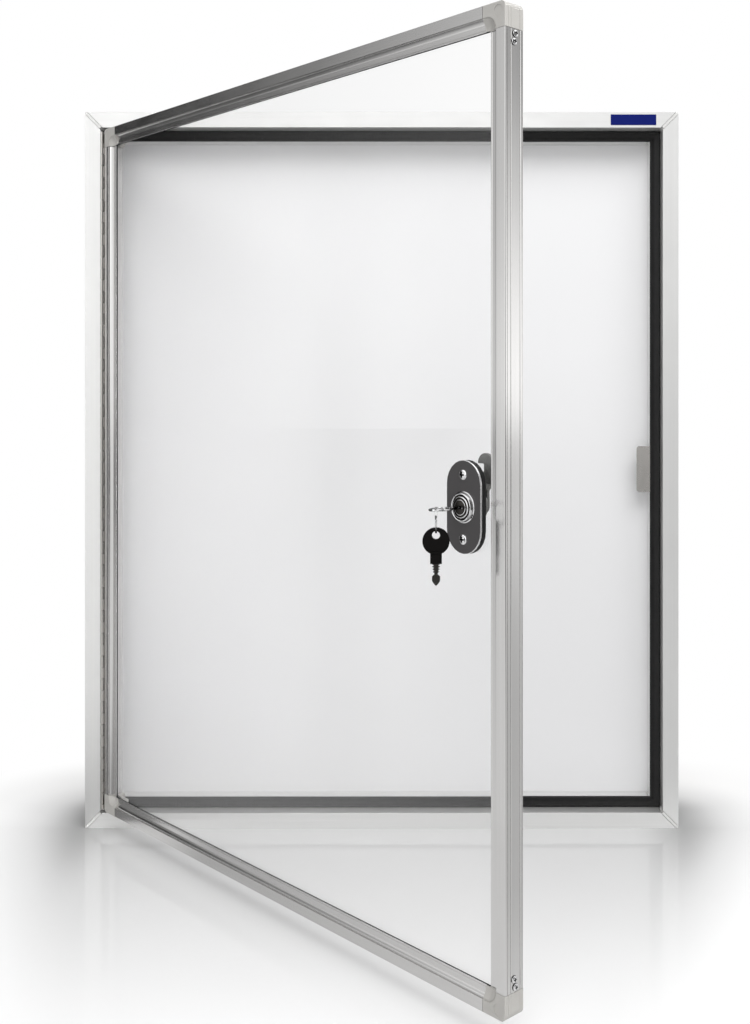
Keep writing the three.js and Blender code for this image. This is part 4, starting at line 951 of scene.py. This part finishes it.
def door_section():
    """Section of a door profile: inward from the outer edge and back from the front face, in mm."""
    turns = [math.radians(t) for t in (0, 22, 45, 68, 90)]
    round_edge = [(0.7 - 0.7 * math.cos(t), 0.7 - 0.7 * math.sin(t)) for t in turns]
    step = [(8.35, 0), (8.45, 0.1), (8.5, 1.5), (8.7, 1.5)]
    cove = cove_arc((8.75, 1.4), 12.2, 62, 2, 12)
    cove.append((15.3, cove[-1][1] + 0.06))
    top = cove[-1][1] - 0.05
    bead = [(15.4, 0.25), (15.6, 0.08), (15.9, 0), (16.4, 0.03), (16.7, 0.2), (16.8, 0.45)]
    channel = [(16.8, 4.5), (9.7, 4.5), (9.7, 9.3), (13.9, 9.3), (13.4, 10)]
    back = [(8.8, 17), (0.3, 17), (0, 16.7)]
    outer = [*groove(16.1, 0.2, 0.6), (0, 14.55), (0.16, 14.4), *groove(13.9, 0.36)]
    outer += [(0, 5.9), (0.18, 5.7), (0.18, 5.4), *groove(5.0, 0.26, 0.9), *groove(2.1, 0.26)]
    return [*round_edge, *step, *cove, *((x, top + y) for x, y in bead), *channel, *back, *outer]


def door_corners():
    """Lowest and highest corner of the door's front face, in the door's frame."""
    low, high = local_box("door_stile_hinge", DOOR)[0], local_box("door_stile_lock", DOOR)[1]
    foot, top = local_box("door_rail_bottom", DOOR)[0].z, local_box("door_rail_top", DOOR)[1].z
    return Vector((low.x, DOOR_FACE, foot)), Vector((high.x, DOOR_FACE, top))


class BOARD_OT_door(BoardOperator, bpy.types.Operator):
    """Rails, stiles and moulded corners of the door"""

    bl_idname = "board.door"
    bl_label = "Door Frame"

    def build(self, sizes):
        section = door_section()
        first, last = door_corners()
        low, high = local_box("door_stile_hinge", DOOR)
        left, right = (corner.x for corner in local_box("door_rail_bottom", DOOR))
        pieces = {
            "rail_bottom": ("bottom", left - first.x, right - left),
            "rail_top": ("top", last.x - right, right - left),
            "stile_hinge": ("left", low.z - first.z, high.z - low.z),
            "stile_lock": ("right", last.z - high.z, high.z - low.z),
        }
        sides = frame_sides(first, last, DOOR)
        for name, (side, skip, run) in pieces.items():
            origin, along, *ways = sides[side]
            lay = (origin + along * skip, along, *ways)
            strip = strip_along(f"door_{name}_shape", section, lay, run, 0.0, "door_rail")
            grain = "door_rail" if name.startswith("rail") else "door_upright"
            evened(shaded(strip, 24))
            dressed(strip, grain, "door_aluminium", "door", "door_" + name)
        look = (sizes.corner_edge, "corner", "corner_plastic", "door", 3)
        for corner in CORNER_SIDES:
            soft_copy("door_corner_" + corner, *look)


# section of the rubber channel: inward from the door's edge and back from its front face, in mm
SEAL_SECTION = (
    (10.0, 4.55), (16.9, 4.55), (17.2, 4.6), (17.3, 4.7), (17.2, 4.84), (10.75, 4.86),
    (10.75, 8.94), (14.2, 8.96), (14.3, 9.08), (14.2, 9.2), (13.9, 9.25), (10.0, 9.25),
)


class BOARD_OT_glazing(BoardOperator, bpy.types.Operator):
    """Pane of glass in its rubber channel"""

    bl_idname = "board.glazing"
    bl_label = "Glazing"

    def build(self, sizes):
        kept("glass", "door_glass")
        lay = (SEAL_SECTION, *door_corners(), DOOR, "rubber")
        strips = [strip for _, strip in mitred_sides("seal_{}", *lay)]
        channel = joined(*strips)
        dressed(shaded(channel, 40), "rubber", "rubber", "door", "glazing_seal")


def domed_head(radius, height, recess, depth, steps=32):
    """A domed screw head on the plane Z=0 with a cross recess."""
    points = [(0, 0), (radius, 0), (radius, height * 0.25)]
    for share in (0.2, 0.4, 0.6, 0.8):
        turn = math.radians(90 * share)
        points.append((radius * math.cos(turn), height * (0.25 + 0.75 * math.sin(turn))))
    head = turned("single", [*points, (0, height)], steps, ring=False)
    reach, half, ends = recess, recess * 0.31, (height - depth, height * 1.5)
    cutter = prism("cutter", rectangle(reach, half), *ends)
    combined(cutter, prism("across", rectangle(half, reach), *ends), "UNION")
    return shaded(combined(head, cutter), 40)


def screw_heads(name, nodes, places, turn, radius, rise, share, rim=2.0):
    """Copies of a domed head; its recess, and its foot beyond a share of the radius, get a painted
    shade.
    """
    reach, floor, hair = radius * share, rise * 0.2, 0.01 * MM
    single = domed_head(radius, rise, reach, rise * 0.8)
    flags = []
    for face in single.data.polygons:
        x, y, z = face.center
        # painted shade: the recess's walls and floor, and the foot of an edge screw's head, are
        # flagged for the near-black finish
        wall = abs(face.normal.z) < 0.3 or z < floor + hair
        inside = z > floor - hair and max(abs(x), abs(y)) < reach * 1.02
        foot = math.hypot(x, y) > radius * rim and z < rise * 0.4
        flags.append(int(wall and inside or foot))
    heads = repeated(name, single, places, turn, "chrome")
    dressed(heads, "chrome", "chrome", "door", *nodes)
    painted(heads, "recess", flags * len(nodes))


class BOARD_OT_edge_screws(BoardOperator, bpy.types.Operator):
    """Domed cross-head screws in the free edge of the door"""

    bl_idname = "board.edge_screws"
    bl_label = "Edge Screws"

    def build(self, sizes):
        nodes = [f"door_corner_screw_{number}" for number in (1, 2, 3, 4)]
        boxes = [local_box(node, DOOR) for node in nodes]
        radius = (boxes[0][1].z - boxes[0][0].z) / 2
        rise = 1.5 * MM
        places = []
        for low, high in boxes:
            middle = (low + high) / 2
            places.append(DOOR @ Vector((high.x - rise, middle.y, middle.z)))
        facing = (DOOR.to_3x3() @ Matrix.Rotation(math.radians(90), 3, "Y")).to_euler()
        screw_heads("door_edge_screws", nodes, places, facing, radius, rise, 0.52, 0.93)


# in millimetres: radius and height of the barrel's outline, and of the plug's from its face
BARREL_OUTLINE = (
    (7.62, -15.6), (9.3, -15.6), (9.3, 0.64), (10.8, 0.64), (10.8, 0.95), (10.7, 1.1),
    (10.45, 1.22), (10.15, 1.35), (9.6, 3.05), (9.45, 3.3), (9.2, 3.44), (8.95, 3.48),
    (8.75, 3.36), (7.85, 1.8), (7.62, 1.7),
)
PLUG_OUTLINE = (
    (7.3, -0.95), (7.1, -0.5), (6.75, -0.25), (6.2, -0.2), (6.05, -0.6), (5.5, -0.6),
    (5.3, -0.12), (4.9, 0), (0, 0),
)


class BOARD_OT_lock(BoardOperator, bpy.types.Operator):
    """Lock plate on its pad, barrel, nut, plug and cam"""

    bl_idname = "board.lock"
    bl_label = "Lock"

    def build(self, sizes):
        self.plate(sizes)
        soft_copy("lock_pad", 0.4 * MM, "rubber", "rubber", "door", 3)
        self.back_plate()
        self.plate_screws()
        self.barrel()
        self.nut()
        self.plug()
        self.cam()
        kept("steel", "cam_screw")

    def plate(self, sizes):
        """The enamelled plate, whose rim is bare steel."""
        plate = copied("lock_plate", "lock_plate_shape")
        out = LOCK.to_3x3() @ ALONG_Z
        rim = [int(abs(face.normal.dot(out)) < 0.5) for face in plate.data.polygons]
        softened(plate, sizes.plate_edge, 3)
        dressed(plate, "plate", "dark_metal", "door", "lock_plate")
        painted(plate, "bright_edge", rim)
        plate.modifiers["Rounded edges"].material = 1

    def plate_screws(self):
        """Two domed screws with a deep socket."""
        nodes = ("lock_plate_screw_1", "lock_plate_screw_2")
        boxes = [local_box(node, LOCK) for node in nodes]
        radius = (boxes[0][1].x - boxes[0][0].x) / 2
        seat = local_box("lock_plate", LOCK)[1].z
        middles = [(low + high) / 2 for low, high in boxes]
        places = [LOCK @ Vector((middle.x, middle.y, seat)) for middle in middles]
        rise = boxes[0][1].z - seat
        screw_heads("lock_plate_screws", nodes, places, LOCK.to_euler(), radius, rise, 0.56)

    def back_plate(self):
        """A slim plate with round ends that clamps the lock to the glass."""
        low, high = local_box("lock_back_plate", LOCK)
        half, middle = 10.2 * MM, (low.y + high.y) / 2
        reach = (high.y - low.y) / 2 - half
        outline = arc(half, 0, 180, 16, 0, middle + reach)
        outline += arc(half, 180, 360, 16, 0, middle - reach)
        plate = placed(prism("lock_back_plate_shape", outline, low.z, high.z), LOCK)
        dressed(softened(plate, 0.3 * MM), "plate", "dark_metal", "door", "lock_back_plate")

    def nut(self):
        """A six-sided nut with chamfered corners on the barrel."""
        low, high = (corner.z for corner in local_box("lock_nut", LOCK))
        outer, inner = 11.4 * MM, 9.35 * MM
        outline = [(inner, low), (outer, low), (outer, high), (inner, high)]
        nut = softened(placed(turned("lock_nut_shape", outline, 6), LOCK), 0.3 * MM)
        dressed(nut, "zinc", "zinc", "door", "lock_nut")

    def plug(self):
        """The turning plug with its keyway and the rings of its face."""
        low, face = (corner.z / MM for corner in local_box("lock_plug", LOCK))
        outline = [(0, low), (2.6, low), (2.6, -17.3), (7.3, -17.3)]
        outline += [(radius, face + height) for radius, height in PLUG_OUTLINE]
        plug = turned("lock_plug_shape", in_mm(outline), ring=False)
        slot = rectangle(3.85 * MM, 1.15 * MM)
        combined(plug, prism("keyway", slot, (face - 7) * MM, (face + 1) * MM))
        rim = []
        for corner in plug.data.polygons:
            x, y, z = corner.center / MM
            wide = math.hypot(x, y)
            rim.append(int((wide > 6.8 or 4.95 < wide < 5.35) and z > face - 1))
        placed(plug, LOCK)
        dressed(shaded(plug, 35), "nickel", "dark_metal", "plug", "lock_plug")
        painted(plug, "bright_edge", rim)

    def cam(self):
        """The cranked cam with its round head and hook notch."""
        low, high = local_box("lock_cam", LOCK)
        thick = 2.5 * MM
        left, right, top = low.x / MM, high.x / MM, high.y / MM
        head = (right - left) / 2
        outline = [*arc(6.2, 180, 360, 16), (right - 0.6, 9.5), (right, 12.0)]
        outline += arc(head, 0, 180, 16, (right + left) / 2, top - head)
        outline += [(left + 0.3, 28.3), (-1.9, 28.1), (-1.6, 27.7), (-1.6, 23.1)]
        outline += [(-1.9, 22.7), (-3.6, 22.5), (-6.3, 19.5), (-6.3, 9.5)]
        cam = prism("lock_cam_shape", in_mm(outline), high.z - thick, high.z)
        first, last, crank = 10.9 * MM, 14.7 * MM, high.z - low.z - thick

        def cranked(work):
            """Cuts the cam at both ends of the crank and lowers all beyond."""
            for height in (first, last):
                cut = {"plane_co": (0, height, 0), "plane_no": ALONG_Y}
                geometry = [*work.verts, *work.edges, *work.faces]
                bmesh.ops.bisect_plane(work, geom=geometry, **cut)
            for vert in work.verts:
                share = (vert.co.y - first) / (last - first)
                vert.co.z -= crank * max(0.0, min(1.0, share))

        placed(reworked(cam, cranked), LOCK)
        dressed(softened(cam, 0.25 * MM), "zinc", "zinc", "plug", "lock_cam")

    def barrel(self):
        """The barrel with its stepped and polished rim."""
        barrel = placed(turned("lock_barrel_shape", in_mm(BARREL_OUTLINE)), LOCK)
        dressed(shaded(barrel, 14), "chrome", "chrome", "door", "lock_barrel")


# blade of the spare key: distance below the bow's neck and half width, in millimetres
SPARE_CUTS = (
    (0.0, 2.6), (0.35, 2.6), (0.9, 1.5), (1.2, 1.5), (1.7, 2.5), (2.05, 2.5), (2.6, 1.4),
    (2.9, 1.4), (3.4, 2.3), (3.75, 2.3), (4.3, 1.2), (4.6, 1.2), (5.1, 2.0), (5.4, 2.0),
    (6.0, 1.1), (6.8, 1.1), (7.6, 1.9), (8.2, 2.65), (11.0, 2.65), (12.2, 2.0), (14.1, 0.5),
)


class BOARD_OT_keys(BoardOperator, bpy.types.Operator):
    """Key in the lock, split ring and spare key"""

    bl_idname = "board.keys"
    bl_label = "Keys"

    def build(self, sizes):
        self.key(sizes.key_wire)
        self.ring(sizes.ring_wire)
        self.spare()

    def key(self, wire):
        """The key in the lock: a blade and neck of sheet, and a loop of wire."""
        low, high = local_box("key_in_lock", LOCK)
        thick = (high.y - low.y) * 0.42
        tip, face = low.z, local_box("lock_plug", LOCK)[1].z
        blade = min((high.x - low.x) / 2, 3.5 * MM)
        neck, loop_half = 2.3 * MM, 8.7 * MM
        middle = high.z - wire - loop_half
        start = middle - loop_half
        side = [
            (blade * 0.4, tip),
            (blade, tip + 1.5 * MM),
            (blade, face + 0.3 * MM),
            (neck, face + 0.8 * MM),
            (neck * 0.8, start - 1.2 * MM),
            (neck * 1.1, start + 0.4 * MM),
            (0.5 * MM, start + 0.7 * MM),
        ]
        outline = [(-x, y) for x, y in side[1::-1]] + side
        outline += [(-x, y) for x, y in side[:1:-1]]
        flat = axes(ALONG_X, ALONG_Z, -ALONG_Y)
        key = placed(prism("key_in_lock_shape", outline, -thick, thick), LOCK @ flat)
        turns = [math.tau * i / 48 for i in range(48)]
        loop = [(5.7 * MM * math.sin(t), 0, middle + loop_half * math.cos(t)) for t in turns]
        bow = wire_along("key_loop", [LOCK @ Vector(p) for p in loop], wire, "wire")
        dressed(shaded(joined(key, bow), 40), "wire", "steel", "key", "key_in_lock")

    def ring(self, wire):
        """Split ring of two turns that lie against each other."""
        low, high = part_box("key_ring")
        radius = (high.z - low.z) / 2 - wire
        lie = Matrix.Translation((low + high) / 2) @ Matrix.Rotation(math.radians(2), 4, "Z")
        points = []
        for i in range(97):
            share = i / 96
            turn = math.tau * 2 * share - math.radians(40)
            step = max(0.0, min(1.0, (share - 0.42) / 0.16))
            offset = wire * 1.02 * (2 * step * step * (3 - 2 * step) - 1)
            spot = Vector((offset, radius * math.cos(turn), radius * math.sin(turn)))
            points.append(lie @ spot)
        ring = wire_along("key_ring_shape", points, wire, "wire", closed=False)
        dressed(ring, "wire", "steel", "ring", "key_ring")

    def spare(self):
        """Black bow with a rounded rim and a notched blade with a ridge."""
        low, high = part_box("spare_key_blade")
        face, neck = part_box("spare_key_bow")[0].yz
        x, y = (low.x + high.x) / 2, (low.y + high.y) / 2
        bow = copied("spare_key_bow", "spare_key_bow_shape")
        wedge = in_mm([(-0.4, -0.3), (0.4, -0.3), (0, 0.35)])
        for rise, half in ((6.4 * MM, 4.4 * MM), (8.3 * MM, 5.2 * MM)):
            lie = axes(ALONG_Z, ALONG_Y, -ALONG_X, (x, face, neck + rise))
            combined(bow, placed(prism("cut", wedge, -half, half), lie))
        softened(bow, 0.7 * MM, 4)
        dressed(bow, "bow", "black_plastic", "spare", "spare_key_bow")
        top, foot, thick = neck + 5 * MM, neck - 12 * MM, high.y - low.y
        outline = [(1.9 * MM, top), *((half * MM, neck - down * MM) for down, half in SPARE_CUTS)]
        outline += [(-a, b) for a, b in reversed(outline)]
        blade = prism("spare_key_blade_shape", outline, -thick * 0.3, thick * 0.3)
        outline = [(-0.5 * MM, top), (0.5 * MM, top), (0.35 * MM, foot), (-0.35 * MM, foot)]
        joined(blade, prism("ridge", outline, -thick * 0.49, thick * 0.49))
        placed(blade, axes(ALONG_X, ALONG_Z, -ALONG_Y, (x, y, 0)))
        softened(blade, 0.1 * MM)
        dressed(blade, "nickel", "steel", "spare", "spare_key_blade")


# ---------------- stage


def area_light(name, place, target, size, power, beam=180):
    """A soft rectangular light aimed at a point, that gloss doesn't see."""
    light = bpy.data.lights.new(name, "AREA")
    light.shape = "RECTANGLE"
    light.size, light.size_y = size
    light.energy = power
    light.spread = math.radians(beam)
    obj = in_scene(bpy.data.objects.new(name, light))
    obj.location = place
    obj.visible_glossy = False
    aim = Vector(target) - Vector(place)
    obj.rotation_euler = aim.to_track_quat("-Z", "Y").to_euler()


def studio_gloss(nodes, way):
    """What gloss sees: a bright front and ceiling, soft boxes at the sides, a dark room at left."""
    x, y, z = nodes.split(way)
    ramp, step, times, between = nodes.ramp, nodes.step, nodes.times, nodes.between
    rise = nodes.calc("ABSOLUTE", nodes.plus(z, 0.01))
    edge = ramp(z, -0.3, 0.2, 0.46, 0.4, "LINEAR")
    left = nodes.calc("DIVIDE", nodes.plus(y, 0.12), edge)
    left = ramp(left, 0.0, 1.0, 1.12, ramp(z, 0.0, 0.18, 0.03, 0.0))
    left = times(left, ramp(rise, 0.02, 0.24, 1.0, 0.74))
    right = ramp(rise, 0.0, 0.32, 1.35, 0.42)
    side = between(step(x, -0.35, 0.35), left, right)
    over = ramp(nodes.calc("ABSOLUTE", nodes.plus(x, 0.09)), 0.0, 0.34, 0.85, 0.0)
    over = times(over, step(z, -0.02, 0.22))
    shade = times(ramp(x, 0.05, 0.2, 0.0, 0.28), step(z, 0.05, 0.22))
    front = nodes.minus(nodes.plus(ramp(z, -0.42, -0.12, 0.84, 1.08), over), shade)
    wall = between(ramp(y, -0.85, -0.3, 1.0, 0.0), side, front)
    wall = between(step(y, 0.5, 0.8), wall, 0.35)
    corner = times(ramp(x, -0.45, -0.2, 0.85, 0.0), step(y, 0.0, 0.4))
    wall = between(step(z, 0.46, 0.66), wall, nodes.minus(1.3, corner))
    gap = times(step(x, 0.24, 0.42), ramp(y, -0.46, -0.26, 1.0, 0.0))
    return between(times(gap, 0.92), wall, 0.04)


def straight_through(nodes, path, most):
    """One for a ray that came from the camera through glass alone; most is its other turns."""
    turns = nodes.minus(path["Ray Depth"], path["Transmission Depth"])
    direct = nodes.calc("LESS_THAN", turns, most + 0.5)
    through = nodes.times(path["Is Transmission Ray"], direct)
    return nodes.most(path["Is Camera Ray"], through)


def studio_world():
    """White to the eye and through glass, a soft room for gloss, plain light for the rest."""
    world = bpy.data.worlds.new("Studio")
    bpy.context.scene.world = world
    world.use_nodes = True
    world.node_tree.nodes.clear()
    nodes = Nodes(world.node_tree)
    way = nodes.add("ShaderNodeTexCoord").outputs["Generated"]
    path = nodes.add("ShaderNodeLightPath").outputs
    glossy = nodes.most(path["Is Glossy Ray"], path["Is Transmission Ray"])
    lit = nodes.between(glossy, FILL_LIGHT, studio_gloss(nodes, way))
    strength = nodes.between(straight_through(nodes, path, 1), lit, 1.0)
    inputs = {"Color": (1, 1, 1, 1), "Strength": strength}
    light = nodes.out("ShaderNodeBackground", inputs)
    nodes.add("ShaderNodeOutputWorld", {"Surface": light})


def floor_finish():
    """White floor with the shadow, a painted soft shade close to the board and a faint reflection.
    """
    material = bpy.data.materials.new("studio_floor")
    material.use_nodes = True
    material.node_tree.nodes.clear()
    nodes = Nodes(material.node_tree)
    ramp, step, times, plus, minus = nodes.ramp, nodes.step, nodes.times, nodes.plus, nodes.minus
    x, y, _ = nodes.split(nodes.add("ShaderNodeTexCoord").outputs["Object"])
    path = nodes.add("ShaderNodeLightPath").outputs
    seen = straight_through(nodes, path, 0)

    # distance from the board: 0 beside it, 1 where its shade ends
    across = nodes.calc("ABSOLUTE", x)
    ahead, beyond = nodes.most(minus(FRONT, y), 0.0), nodes.most(y, 0.0)
    half = nodes.calc("MULTIPLY_ADD", ahead, -0.33, CASE_HIGH.x)
    aside = nodes.most(minus(across, half), 0.0)
    ways = {"X": (aside, 0.11), "Y": (ahead, 0.48), "Z": (beyond, 0.11)}
    away = {axis: nodes.calc("DIVIDE", way, size) for axis, (way, size) in ways.items()}
    away = {0: nodes.out("ShaderNodeCombineXYZ", away)}
    reach = nodes.add("ShaderNodeVectorMath", away, operation="LENGTH").outputs["Value"]

    # own light of the floor, which paints its shade near the board: for the eye, and for gloss
    lift = ramp(reach, 0.0, 1.0, FLOOR_LIFT - FLOOR_SHADE, FLOOR_LIFT)
    # painted shadow: an extra darkening of the floor at the board's sides
    corner = times(step(across, 0.24, 0.3), ramp(reach, 0.0, 0.5, 0.24, 0.0))
    # painted reflection: the floor's own light as gloss and bounced light see it, set by place
    dimmer = times(ramp(y, -0.5, -0.15, 0.22, 0.0), ramp(x, 0.12, 0.4, 1.0, 0.0))
    dimmer = plus(dimmer, ramp(x, 0.7, 3, 0, 0.45))
    close = times(ramp(y, -0.17, -0.1, 0.0, 0.24), ramp(x, 0.3, 0.5, 1.0, 0.0))
    bright = nodes.between(seen, plus(dimmer, close), minus(lift, corner))
    matt = nodes.out("ShaderNodeAddShader", {0: nodes.matt(0.5), 1: nodes.glow(bright)})

    # reflection near the board, painted dark reflections that only gloss sees, and white far away
    inputs = {"Color": (1, 1, 1, 1), "Roughness": 0.04}
    mirror = nodes.out("ShaderNodeBsdfGlossy", inputs)
    look = nodes.blend(times(ramp(reach, 0.0, 1.0, 0.1, 0.0), seen), matt, mirror)
    # painted dark reflection: to gloss, the floor far to the right and in front is nearly black
    gap = times(ramp(x, 0.6, 1.1, 0.0, 0.92), ramp(y, -0.95, -0.65, 1.0, 0.0))
    look = nodes.blend(times(path["Is Glossy Ray"], gap), look, nodes.glow(0.04))
    # painted reflection: to gloss, the floor left of the board darkens towards the back
    beside = times(path["Is Glossy Ray"], nodes.calc("LESS_THAN", x, CASE_LOW.x))
    look = nodes.blend(beside, look, nodes.glow(ramp(y, -0.55, 0.1, 0.84, 0.12)))
    far = times(step(reach, 0.85, 1.7), seen)
    inputs = {"Surface": nodes.blend(far, look, nodes.glow(1.0))}
    nodes.add("ShaderNodeOutputMaterial", inputs)
    return material


class BOARD_OT_stage(BoardOperator, bpy.types.Operator):
    """White floor, soft light and the camera"""

    bl_idname = "board.stage"
    bl_label = "Stage"

    def build(self, sizes):
        scene = bpy.context.scene
        scene.view_settings.view_transform = "Standard"
        studio_world()
        work = bmesh.new()
        bmesh.ops.create_grid(work, x_segments=1, y_segments=1, size=12)
        floor = placed(piece_from("floor", work), Matrix.Translation((0, 0, CASE_LOW.z)))
        floor.data.materials.append(floor_finish())
        floor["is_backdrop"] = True
        middle = (0, FRONT, (CASE_LOW.z + CASE_HIGH.z) / 2)
        hinge_side = (CASE_LOW.x + 0.07, 0, middle[2])
        area_light("key", (0.57, -1.2, 1.3), middle, (2.2, 0.9), 33.5)
        area_light("fill", (0.35, -1.1, middle[2]), hinge_side, (0.12, 0.7), 0.26, 26)
        lens = bpy.data.cameras.new("Camera")
        lens.lens = 41.26
        lens.sensor_width = 36
        lens.shift_x, lens.shift_y = -0.1025, -0.1196
        lens.clip_start, lens.clip_end = 0.01, 100
        camera = in_scene(bpy.data.objects.new("Camera", lens))
        camera.location = (0.096, -1.1919, -0.2583)
        camera.rotation_euler = (math.radians(90), 0, 0)
        scene.camera = camera


PIECE_OPERATORS = (
    BOARD_OT_case,
    BOARD_OT_panel,
    BOARD_OT_gaskets,
    BOARD_OT_keeper,
    BOARD_OT_hinge,
    BOARD_OT_door,
    BOARD_OT_glazing,
    BOARD_OT_edge_screws,
    BOARD_OT_lock,
    BOARD_OT_keys,
    BOARD_OT_stage,
)


class BOARD_PT_sidebar(bpy.types.Panel):
    """Lists the board's operators, sizes and colours"""

    bl_label = "Notice Board"
    bl_idname = "BOARD_PT_sidebar"
    bl_space_type = "VIEW_3D"
    bl_region_type = "UI"
    bl_category = "Notice Board"

    def draw(self, context):
        for operator in PIECE_OPERATORS:
            self.layout.operator(operator.bl_idname)
        for group in (context.scene.board_sizes, context.scene.board_colours):
            box = self.layout.box()
            for name in group.__annotations__:
                box.prop(group, name)


CLASSES = (BoardSizes, BoardColours, *PIECE_OPERATORS, BOARD_PT_sidebar)


def register():
    """Registers the classes and their settings."""
    for item in CLASSES:
        bpy.utils.register_class(item)
    bpy.types.Scene.board_sizes = bpy.props.PointerProperty(type=BoardSizes)
    bpy.types.Scene.board_colours = bpy.props.PointerProperty(type=BoardColours)


def unregister():
    """Removes the settings and classes."""
    del bpy.types.Scene.board_colours
    del bpy.types.Scene.board_sizes
    for item in reversed(CLASSES):
        bpy.utils.unregister_class(item)


def main():
    """Builds every piece in order."""
    register()
    for operator in PIECE_OPERATORS:
        group, name = operator.bl_idname.split(".")
        getattr(getattr(bpy.ops, group), name)()
    boxes = {"cad": CAD_BOX, "visual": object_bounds()}
    {k: [list(corner) for corner in v] for k, v in boxes.items()}


if __name__ == "__main__":
    main()
